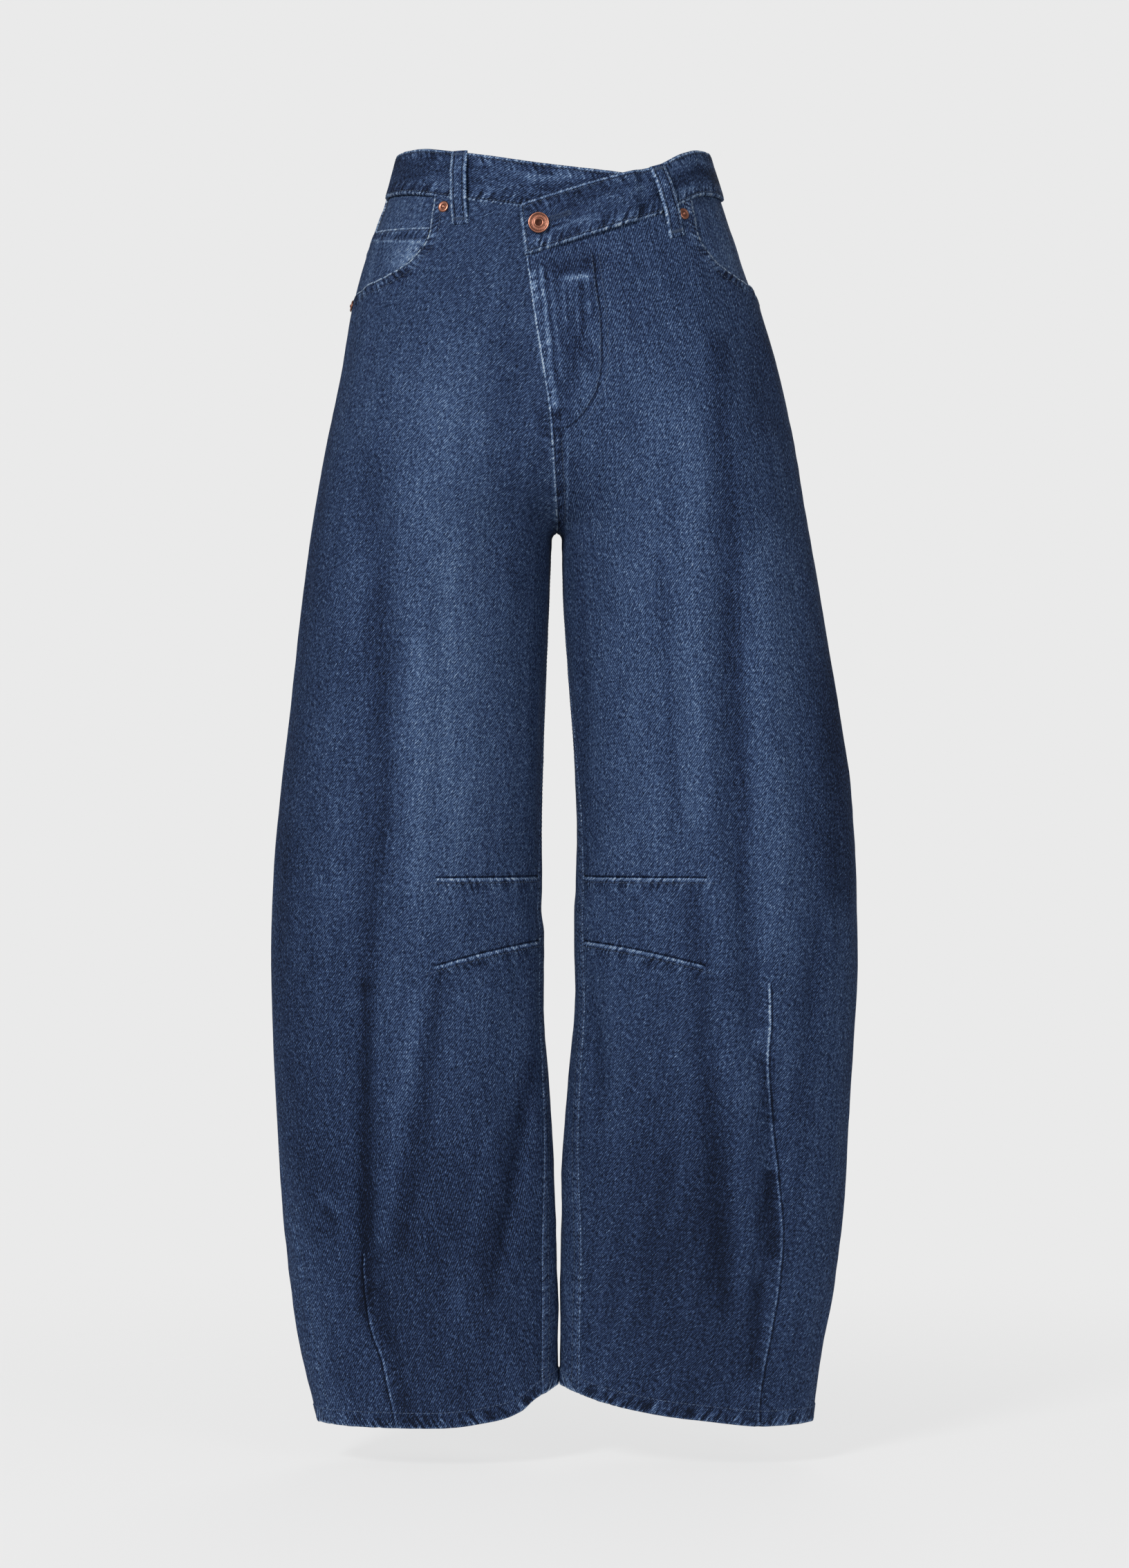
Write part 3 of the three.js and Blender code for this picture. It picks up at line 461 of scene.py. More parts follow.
def half_normal(side, turn, z):
    """Normals of half_section's cloth, from points a little to all sides on the same side of the crotch."""
    above = z >= CROTCH
    low = np.where(above, np.maximum(CROTCH, z - NUDGE_UP), z - NUDGE_UP)
    high = np.where(above, z + NUDGE_UP, np.minimum(CROTCH - 0.01, z + NUDGE_UP))
    nearer, further = np.maximum(-2, turn - NUDGE_TURN), np.minimum(2, turn + NUDGE_TURN)
    across = half_section(side, further, z) - half_section(side, nearer, z)
    up = half_section(side, turn, high) - half_section(side, turn, low)
    normal = unit(np.cross(across, up))
    return normal if side == "right" else -normal


def on_cloth(side, turn, z):
    """Points of the cloth's face and its normals there."""
    return cloth_point(side, turn, z), with_over_part(half_normal, side, turn, z)


def bilinear(grid, i, j, f, g):
    """The value of a grid between whole places i, j and the next, at the shares f, g of the way."""
    first = mixed(grid(i, j), grid(i + 1, j), f)
    return mixed(first, mixed(grid(i, j + 1), grid(i + 1, j + 1), f), g)


def along_path(points):
    """The way along a path to each of its points."""
    return np.concatenate([[0], np.cumsum(np.linalg.norm(np.diff(points, axis=0), axis=1))])


class Rows:
    """One side's front or back, with distances measured from the side seam along level rows of its cloth."""

    TOP, FOOT, STEP, COLUMNS = 20.0, -1062.0, 2.0, 121

    def __init__(self, side, is_front):
        self.side, self.is_front = side, is_front
        levels = np.arange(self.TOP, self.FOOT, -self.STEP)
        share = np.linspace(0, 1, self.COLUMNS)
        turns = mixed(self.first(levels)[:, None], self.last(levels)[:, None], share)
        steps = np.linalg.norm(np.diff(cloth_point(side, turns, levels[:, None]), axis=1), axis=-1)
        self.lengths = np.concatenate([np.zeros((len(levels), 1)), np.cumsum(steps, axis=1)], axis=1)
        self.even = np.array([np.interp(share, row / row[-1], share) for row in self.lengths])

    def first(self, z):
        return side_turn[self.side](z)

    def last(self, z):
        turned = np.where(z < CROTCH, inseam_turn[self.side](z), 0)
        return 2 - turned if self.is_front else -2 - turned

    def look(self, table, z, share):
        """A table's value at a height and a share of the row's columns."""
        down = np.clip((self.TOP - z) / self.STEP, 0, len(table) - 1.001)
        j = down.astype(int)
        f = down - j
        along = np.clip(share, 0, 1) * (self.COLUMNS - 1)
        i = np.minimum(along.astype(int), self.COLUMNS - 2)
        g = along - i
        return bilinear(lambda a, b: table[b, a], i, j, g, f)

    def length(self, z):
        """The whole row's length."""
        z = np.asarray(z, float)
        return self.look(self.lengths, z, np.ones(np.shape(z)))

    def turn_at(self, s, z):
        """The turn at a distance along the row, and past its end on the cloth of the other side."""
        s, z = np.broadcast_arrays(np.asarray(s, float), np.asarray(z, float))
        whole = self.length(z)
        share = self.look(self.even, z, s / whole)
        inner = mixed(self.first(z), self.last(z), share)
        over = s - whole
        if not (over > 0).any():
            return inner
        # Past the closure line the rows are straight, so the place sideways gives the turn.
        span = np.abs(fly_x(z) - apex[OTHER[self.side]](z))
        past = 4 - (1 + np.arcsin(np.clip(1 - over / span, 0, 1)) * 2 / math.pi)
        return np.where(over > 0.01, past, inner)

    def length_at(self, turn, z):
        """The distance along the row at a turn."""
        share = (turn - self.first(z)) / (self.last(z) - self.first(z))
        return self.look(self.lengths, z, share)

    def weave_place(self, s, z):
        """Places in the weave: across, growing to the right seen from outside, and along the warp."""
        return np.stack([s if (self.side == "right") == self.is_front else -s, z], -1)


def grid_turns(rows, spread, z, start, end):
    """Turns for a grid of cloth whose rows have heights z: spread gives the columns from 0 to 1, and start
    and end give the two edges as distances along the row."""
    whole = rows.length(z)
    first, last = start(z[:, :1]), end(z[:, -1:], whole)
    even = rows.turn_at(mixed(first, last, spread), z)
    shared = mixed(rows.turn_at(first + 0 * z, z), rows.turn_at(last + 0 * z, z), spread)
    return mixed(even, shared, smooth(*EVEN_TO_SHARED, z))


def following(rows, spread, edge, first, start, end):
    """Heights of an edge whose height depends on its place sideways, found by a few repeats."""
    z = np.full((1, len(spread)), float(first))
    for _ in range(12):
        turns = grid_turns(rows, spread, z, start, end)
        z = edge(cloth_point(rows.side, turns, z)[..., 0], spread) + 0 * z
    return z[0]


def spaced(*runs):
    """Column or row places made of runs (from, to, count), each without its end, and then the last end."""
    return np.concatenate([np.linspace(a, b, n + 1)[:-1] for a, b, n in runs] + [[runs[-1][1]]])


def ripple(seed, a, b):
    """A smooth uneven surface from -1 to 1, with one wave for each unit of a and of b."""
    lattice = np.random.default_rng(seed).uniform(-1, 1, (128, 128))
    a, b = np.broadcast_arrays(a, b)
    i, j = np.floor(a).astype(int), np.floor(b).astype(int)
    f, g = a - i, b - j
    f, g = f * f * (3 - 2 * f), g * g * (3 - 2 * g)
    return bilinear(lambda p, q: lattice[p % 128, q % 128], i, j, f, g)


PATH_REACH = 28.0


def from_path(points, normals, path):
    """How far each point lies from a path, positive on its left seen from outside, and the way along it."""
    flat, facing = points.reshape(-1, 3), normals.reshape(-1, 3)
    distance, along = np.full(len(flat), 1e3), np.zeros(len(flat))
    inside_box = (flat > path.min(0) - PATH_REACH) & (flat < path.max(0) + PATH_REACH)
    near = np.all(inside_box, axis=1).nonzero()[0]
    a, ab = path[:-1], np.diff(path, axis=0)
    squared = (ab**2).sum(1)
    begun = along_path(path)[:-1]
    for some in np.array_split(near, max(1, len(near) * len(a) // 600000)):
        gap = flat[some, None] - a
        t = np.clip((gap * ab).sum(2) / squared, 0, 1)
        gap -= t[..., None] * ab
        best = (gap**2).sum(2).argmin(1)
        pick = np.arange(len(some))
        gap, t = gap[pick, best], t[pick, best]
        left = (np.cross(ab[best], gap) * facing[some]).sum(1)
        distance[some] = np.linalg.norm(gap, axis=1) * np.where(left >= 0, 1, -1)
        along[some] = begun[best] + t * np.sqrt(squared[best])
    shape = points.shape[:-1]
    return distance.reshape(shape), along.reshape(shape)


REACH = 16.0  # how far from a seam its marks show
NO_ROW = 99.0  # far enough from a seam that no groove shows


class Marks:
    """What sewing, wear and painted light and shade do to a piece: how far they move its face, and what its
    finish reads.
    """

    def __init__(self, shape):
        self.relief = np.zeros(shape)
        self.along = np.zeros(shape)
        self.across = np.full(shape, REACH)  # distance from the nearest seam, negative beyond it
        self.close = np.zeros(shape)  # 1 at the nearest seam and 0 where nothing of it shows
        self.rows = np.full(shape + (2,), NO_ROW)  # how far its rows of stitches lie from it
        self.worn = np.zeros(shape)
        self.pucker = np.zeros(shape)
        # fade: paler or darker colour from faded wear and from painted shade and highlights
        self.fade = np.zeros(shape)

    def seam(self, distance, along, rows=(), lift=0.0, width=10.0, roll=0.0, worn=1.0, pucker=0.35, ends=1.0):
        """One seam or sewn edge. The cloth lies doubled between it and its width, rolls down at the seam, and
        has stitch rows at some distances from it. Beyond the seam (negative) it only rolls down."""
        inner = distance >= 0
        apart = np.abs(distance)
        raised = lift * (1 - smooth(width - 0.8, width + 0.8, distance)) * inner
        sunk = sum(0.25 * np.exp(-(((distance - row) / 0.9) ** 2)) for row in rows)
        waves = pucker * ripple(11, along / 6.5, apart / 30) * np.exp(-((apart / 9) ** 2))
        self.relief += ends * (raised - sunk - roll * np.exp(-((apart / 1.3) ** 2)) + waves)
        close = np.clip(1 - apart / REACH, 0, 1) * ends
        nearer = close > self.close
        for field, value in (
            ("along", along), ("across", np.clip(distance, -REACH, REACH)), ("close", close),
            ("worn", worn), ("pucker", pucker * 2.2),
        ):
            setattr(self, field, np.where(nearer, value, getattr(self, field)))
        for k, row in enumerate((tuple(rows) + (NO_ROW, NO_ROW))[:2]):
            self.rows[..., k] = np.where(nearer, row, self.rows[..., k])

    def paint(self, seen, strokes):
        """Strokes that make the colour paler (positive) or darker, as faded wear or as painted highlight and
        shade: two ends as the photograph shows them, half-width, strength.
        """
        for x0, z0, x1, z1, wide, strength in strokes:
            run = np.array([x1 - x0, z1 - z0], float)
            long = max(np.hypot(*run), 1e-6)
            gap = np.stack([seen[0] - x0, seen[1] - z0], -1)
            t = (gap @ run) / long**2
            off = np.abs(gap[..., 0] * run[1] - gap[..., 1] * run[0]) / long
            within = smooth(-wide, wide, t * long) * smooth(-wide, wide, (1 - t) * long)
            self.fade += strength * np.exp(-((off / wide) ** 2)) * within


def cloth_piece(name, finish, face, normals, thickness, warp, marks, bulge=0.45, behind=1.0):
    """A closed piece of cloth from a grid of points on its face: an outer side, an inner side that follows it
    and a folded edge all round. warp gives each point's place in the weave, across and along the warp, and
    behind is how much of the weave's wrong side the inner side shows."""
    face = face + normals * marks.relief[..., None]
    number = np.arange(face.shape[0] * face.shape[1]).reshape(face.shape[:2])
    ring = np.concatenate([number[0, :-1], number[:-1, -1], number[-1, :0:-1], number[:0:-1, 0]])
    away = np.zeros_like(face)
    away[0] += unit(face[0] - face[1])
    away[-1] += unit(face[-1] - face[-2])
    away[:, 0] += unit(face[:, 0] - face[:, 1])
    away[:, -1] += unit(face[:, -1] - face[:, -2])
    under = face - normals * thickness
    fold = (face + under).reshape(-1, 3)[ring] / 2 + unit(away).reshape(-1, 3)[ring] * bulge
    fold_at = number.size + np.arange(len(ring))
    inner_at = number.size + len(ring) + number
    inner_ring = inner_at.ravel()[ring]
    points = np.concatenate([face.reshape(-1, 3), fold, under.reshape(-1, 3)])
    quads = np.stack([number[:-1, :-1], number[:-1, 1:], number[1:, 1:], number[1:, :-1]], -1).reshape(-1, 4)
    back = quads[:, ::-1] + inner_at[0, 0]
    following_on = [np.roll(line, -1) for line in (ring, fold_at, inner_ring)]
    rim = np.stack([following_on[0], ring, fold_at, following_on[1]], -1)
    inner_rim = np.stack([following_on[1], fold_at, inner_ring, following_on[2]], -1)
    faces = quads.tolist() + back.tolist() + rim.tolist() + inner_rim.tolist()
    triangle = points[quads[:, :3]]
    outwards = np.cross(triangle[:, 1] - triangle[:, 0], triangle[:, 2] - triangle[:, 0])
    if (unit(outwards) * normals.reshape(-1, 3)[quads[:, 0]]).sum() < 0:
        faces = [f[::-1] for f in faces]
    mesh = bpy.data.meshes.new(name)
    mesh.from_pydata((points * MM).tolist(), [], faces)
    mesh.shade_smooth()

    def everywhere(values):
        flat = values.reshape(number.size, -1)
        return np.concatenate([flat, flat[ring], flat])

    corner_point = np.empty(len(mesh.loops), int)
    mesh.loops.foreach_get("vertex_index", corner_point)
    mesh.uv_layers.new(name="cloth").uv.foreach_set("vector", (everywhere(warp)[corner_point] * MM).ravel())
    wrong = behind * np.repeat([0, 0.2, 1], [number.size, len(ring), number.size])
    for label, values in (
        ("seam", everywhere(np.stack([marks.along, marks.across, marks.close], -1))),
        ("sewn", everywhere(np.dstack([marks.rows, marks.worn]))),
        # The wear attribute holds fade, with its faded wear and painted shade and highlights, then pucker and
        # the wrong side
        ("wear", np.column_stack([everywhere(np.stack([marks.fade, marks.pucker], -1)), wrong])),
    ):
        mesh.attributes.new(label, "FLOAT_VECTOR", "POINT").data.foreach_set("vector", values.ravel())
    mesh.materials.append(finish)
    return placed(name, mesh)


def dress(piece, node, rests_on):
    """The cloth takes its CAD node's place."""
    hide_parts(node)
    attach(piece, "root")


TWILL_PITCH = 1.5
TWILL_LEAN = math.radians(52)


def denim(name, tone, patchy=1.0):
    """Denim twill: blue warp over pale weft in steep diagonal lines, with slubs down the warp, rubbed pale at
    the edges, worn pale with a painted highlight along puckers, with painted shade in the stitched grooves
    and in the crease beyond each seam, and paler on its wrong side."""
    made, tree = material(name)
    weave = tree.node("ShaderNodeUVMap", {"uv_map": "cloth"})
    weave = tree.node("ShaderNodeVectorMath", {"operation": "SCALE"}, {0: weave, "Scale": 1 / MM})
    across, warp, _ = weave.parts()
    (along, across_seam, close), (row_1, row_2, worn), (fade, pucker, wrong) = (
        tree.node("ShaderNodeAttribute", {"attribute_name": label}, output="Vector").parts()
        for label in ("seam", "sewn", "wear")
    )

    def grain(a, b, layer, detail=2.0):
        at = tree.node("ShaderNodeCombineXYZ", {}, {0: a, 1: b, 2: layer})
        return tree.node("ShaderNodeTexNoise", {}, {"Vector": at, "Scale": 1.0, "Detail": detail}) - 0.5

    yarn = grain(across / 0.6 - warp * 0.45, warp / 1.1, 1.0, 1.0)
    mottle = grain(across / 2.2, warp / 3.0, 2.0)
    slub = grain(across / 1.3 - warp * 0.12, warp / 16, 3.0)
    cloud = grain(across / 13, warp / 65, 4.0, 3.0)
    over_lines = across * math.sin(TWILL_LEAN) - warp * math.cos(TWILL_LEAN)
    down_lines = across * math.cos(TWILL_LEAN) + warp * math.sin(TWILL_LEAN)
    twill = (over_lines * (2 * math.pi / TWILL_PITCH) + grain(across / 5, warp / 7, 5.0) * 7.0).sine()
    specks = grain(over_lines / 1.3, down_lines / 3.0, 8.0, 1.0)
    seam_here = (close * 6 - 2.4).clamped()
    patches = grain(along / 3.0, across_seam / 6, 6.0)
    streaks = grain((along + across_seam * 0.45) / 3.4, across_seam / 20, 7.0)
    uneven = (patches * 2.2 + streaks * 1.5 + 0.78).clamped()
    rubbed = abs(across_seam - 0.6).near(1.8) * uneven * seam_here * worn
    # Painted shade in the stitched grooves; the same mask also sinks the bump there
    grooves_and_shade = (abs(across_seam - row_1).near(1.2) + abs(across_seam - row_2).near(1.2)) * seam_here
    # Painted shade in the crease where the cloth rolls down beyond each seam
    crease_shade = abs(across_seam + 1.2).near(1.5) * seam_here
    # Pucker ridges are worn pale and also get a painted highlight where the bump raises them
    pucker_wear_and_highlight = abs(across_seam - 3).near(12.0) * pucker * (close * 5).clamped()
    flecks = (yarn - 0.1).clamped()
    weave_tone = twill * (mottle * 0.3 + 0.15) + yarn * 0.55 + flecks * 0.8 + mottle * 0.35 + slub * 0.35
    # Rubbed pale edges are wear; the grooves and the crease get painted shade, and the puckers wear pale with
    # a painted highlight
    wear_and_painted_light_tone = rubbed * 0.45 - grooves_and_shade * 0.28 - crease_shade * 0.28 + streaks * pucker_wear_and_highlight * 1.7
    # fade adds faded wear and the strokes' painted shade and highlights
    shade = tone + fade + (weave_tone + specks * 0.88) + cloud * (0.2 * patchy) + wear_and_painted_light_tone
    blue = tree.node(
        "ShaderNodeValToRGB",
        {"stops": [
            (0.0, linear(13, 19, 33)),
            (0.2, linear(26, 38, 64)),
            (0.42, linear(49, 66, 99)),
            (0.62, linear(82, 105, 141)),
            (0.82, linear(126, 150, 180)),
            (1.0, linear(176, 191, 206)),
        ]},
        {0: shade},
    )
    pale = tree.node(
        "ShaderNodeValToRGB",
        {"stops": [(0.0, linear(70, 84, 108)), (1.0, linear(176, 186, 198))]},
        {0: 0.5 + twill * 0.12 + mottle * 0.7 + yarn * 0.5},
    )
    colour = tree.node("ShaderNodeMix", {"data_type": "RGBA"}, {0: wrong, 6: blue, 7: pale}, 2)
    height = twill * 0.09 + mottle * 0.25 + yarn * 0.25 + streaks * pucker_wear_and_highlight * 0.9 + slub * 0.1
    height = height - grooves_and_shade * 0.35 - abs(across_seam).near(1.6) * seam_here * 0.7
    bump = tree.node("ShaderNodeBump", {}, {"Strength": 0.8, "Distance": MM, "Height": height})
    finish_surface(tree, tree.node("ShaderNodeBsdfPrincipled", {}, {
        "Base Color": colour, "Roughness": 0.86 + mottle * 0.16, "Normal": bump, "Specular IOR Level": 0.1,
    }))
    return made


mid_denim = denim("mid_blue_denim", 0.33)
MOUTH_HEIGHTS = (-42.0, -120.9)
MOUTH_ROWS = (1.8, 8.4)
MOUTH_DOUBLED = 10.6
# Knee darts: height at the side seam and the inseam, rise of the bow, and where each ends on either leg
KNEE_DARTS = (
    (-596.0, -596.0, 0.0, {"right": 0.61, "left": 0.61}),
    (-697.0, -649.0, 4.5, {"right": 0.615, "left": 0.625}),
)
DART_ROW = 3.6
HEM_ROW = 12.4
FLY_LIFT = 2.0
FLY_FOOT = -214.0
FLY_ROWS = (1.8, 8.0)
RISE_SEWN = (-222.0, -308.0)  # heights between which the front seam below the fly is topstitched
UNDERLAP = 10.0
# The J-shaped rows that hold the fly's facing, as the photograph shows them, and how far apart they lie
FLY_STITCHES = [
    (25, -84), (28, -110), (31.7, -140), (32.4, -169), (29.5, -190), (22, -207), (12, -219), (3, -226),
]
FLY_STITCHES_APART = 6.0
# The darts that run up from the hems, as the photograph shows them
HEM_DART = {
    "right": [
        (-163.5, -891), (-162.4, -926), (-156.7, -968), (-147.3, -996), (-142.7, -1019), (-137.9, -1040),
        (-135.6, -1052),
    ],
    "left": [
        (171.5, -668), (172.5, -717), (170.4, -747), (172.5, -786), (179.5, -856), (182.3, -891),
        (179.5, -930.5), (172.6, -972.6), (166.7, -1005), (163, -1033), (162.7, -1052),
    ],
}
# Faded or painted-highlight (positive) and dark strokes: two ends as the photograph shows them, half-width
# and strength.
# Long ones fade the thighs, paint highlights on the fold ridges, paint shade into the fold troughs and along
# the outseams and darken the lower legs; short ones paint the light and shade of the creases round the fly
# and the shadow under the band's over end.
FRONT_FADE_AND_SHADE = [
    (-106, -170, -104, -600, 36, 0.085),
    (-119, -400, -118, -650, 10, 0.06),
    (-70, -130, -66, -560, 40, 0.05),
    (-157, -240, -148, -352, 12, -0.06),
    (-150, -352, -152, -560, 12, -0.10),
    (-152, -560, -161, -690, 8, -0.14),
    (-161, -680, -161, -956, 6, -0.24),
    (-155, -930, -126, -1040, 7, -0.09),
    (-41, -150, -38, -360, 18, -0.06),
    (-98, -671, -132, -910, 8, -0.10),
    (-118, -690, -150, -900, 7, 0.08),
    (-24, -745, -61, -945, 8, -0.10),
    (-12, -928, -8, -1010, 16, -0.06),
    (-208, -170, -236, -640, 21, -0.16),
    (-240, -640, -205, -1045, 26, -0.10),
    (-110, -810, -105, -1180, 90, -0.14),
    (130, -150, 141, -450, 9, -0.10),
    (141, -450, 153, -643, 8, -0.12),
    (153, -643, 160, -720, 7, -0.09),
    (167, -745, 173, -800, 5, -0.17),
    (173, -840, 172, -910, 6, -0.20),
    (162, -930, 156, -1010, 6, -0.14),
    (81, -329, 96, -557, 5, -0.09),
    (108, -200, 110, -557, 15, 0.07),
    (168, -310, 176, -660, 22, 0.085),
    (70, -160, 76, -600, 44, 0.07),
    (107, -603, 121, -757, 8, -0.10),
    (121, -757, 134, -956, 9, -0.13),
    (150, -760, 150, -960, 8, 0.05),
    (224, -420, 228, -620, 18, -0.14),
    (210, -626, 198, -800, 9, -0.08),
    (208, -220, 232, -420, 14, -0.12),
    (27, -700, 34, -790, 6, -0.06),
    (164, -145, 168, -232, 14, -0.07),
    (16, -329, 20, -614, 5, -0.06),
    (112, -810, 112, -1180, 90, -0.14),
    (-12, -98, 36, -90, 8, -0.12),
    (1, -103, 24, -101.5, 3.0, 0.34),
    (-24.5, -98, -15.5, -180, 1.8, 0.26),
    (-20, -96, -12, -168, 1.2, -0.14),
    (-17, -94, -9, -165, 1.3, 0.20),
    (-13.5, -94, -4, -190, 1.1, -0.12),
    (-10, -96, 0, -183, 1.2, 0.14),
    (1, -106, 4, -142, 1.3, 0.15),
    (6, -106, 8, -126, 1.2, 0.12),
    (12, -106, 14, -150, 1.4, 0.15),
    (20, -106, 23, -132, 1.5, 0.15),
    (4, -104, 6, -150, 1.0, -0.1),
    (16, -104, 18, -150, 1.6, -0.12),
    (26, -104, 27, -140, 1.2, -0.1),
    (8, -150, 6, -200, 8, -0.06),
    (-19, -96, -6, -212, 4, 0.16),
    (-13, -150, -3, -214, 1.4, 0.13),
    (-8, -170, 1, -212, 1.2, -0.10),
    (17, -168, 19, -202, 6, 0.09),
    (-9.5, -214.8, 1.5, -213.6, 1.3, -0.30),
    (5, -226, 4.5, -310, 1.1, 0.15),
    (-1, -226, -1.5, -310, 2.4, -0.12),
    (-192, -640, -190, -880, 26, -0.05),
    (80, -700, 80, -960, 45, -0.05),
    (-60, -730, -66, -960, 30, -0.02),
    (-147, -350, -144, -600, 5, -0.06),
    (-93, -330, -90, -640, 9, 0.04),
    (140, -250, 152, -560, 5, -0.05),
    (18, -108, 14, -182, 8, -0.08),
    (22, -120, 24, -160, 5, 0.06),
    (-215, -300, -222, -560, 14, 0.06),
    (-60, -800, -84, -960, 5, 0.05),
    (-88, -900, -92, -1010, 6, 0.045),
    (96, -780, 104, -960, 6, 0.045),
    (40, -700, 60, -900, 7, 0.035),
    (-196, -868, -186, -884, 4, -0.12),
    (-200, -858, -178, -872, 3, 0.10),
    (-205, -886, -186, -892, 4, -0.09),
]


def view_path(places, side):
    """Points and normals of the cloth's face under places in the photograph's view."""
    places = np.array(places, float)
    steps = along_path(places)
    even = np.arange(0, steps[-1], 3.0)
    sx, sz = through(steps, places[:, 0])(even), through(steps, places[:, 1])(even)
    turns = np.linspace(0, 2, 200) if side == "right" else np.linspace(2, 0, 200)
    z = sz.copy()
    for _ in range(4):
        seen = seen_at(cloth_point(side, turns[None], z[:, None]))
        turn = np.array([np.interp(x, row, turns) for x, row in zip(sx, seen[0])])
        z = z + sz - seen_at(cloth_point(side, turn, z))[1]
    return on_cloth(side, turn, z)


def carried_on(lines, stops):
    """The rows so far and then more of them, evenly spread from the last one to each stop."""
    for line, count in stops:
        last = lines[-1]
        lines += [mixed(last, line, (k + 1) / count) for k in range(count)]
    return np.array(lines)


def front_heights(side, rows, spread, edge, start, end):
    """Heights of the front's rows, from the band down to the hem, closer together where something is sewn."""
    top = following(rows, spread, lambda x, u: edge(x) + 1.5, -70, start, end)
    foot = following(rows, spread, lambda x, u: hem[side](x), -1035, start, end)
    shares = spaced((0, 0.38, 16), (0.38, 0.67, 42), (0.67, 1, 15))[:-1]
    lines = [mixed(top, HIP_LINE, share) for share in shares]
    levels = spaced(
        (HIP_LINE, -290, 50), (-290, -312, 15), (-312, -314, 5), (-314, -330, 14), (-330, -580, 78)
    )
    lines += [np.full(len(spread), z) for z in levels]
    upper, lower = (mixed(dart[0], dart[1], spread) for dart in KNEE_DARTS)
    return carried_on(lines, (
        (upper + 6, 3), (upper - 8, 14), (lower + 6, 20), (lower - 8, 14), (0 * foot - 745, 22),
        (0 * foot + HEM_LINE, 74), (foot + 14, 16), (foot, 14),
    ))


def hanging(s, whole, z):
    """The uneven hang of the cloth, which dies away at the seams."""
    inner = smooth(0, 16, s) * smooth(0, 16, whole - s)
    low = 1 + 0.5 * smooth(-600, -900, z)
    broad, middling, fine = ripple(1, s / 27, z / 120), ripple(2, s / 12, z / 40), ripple(3, s / 6, z / 10)
    return inner * (0.7 * broad + 0.45 * middling * low + 0.2 * fine)


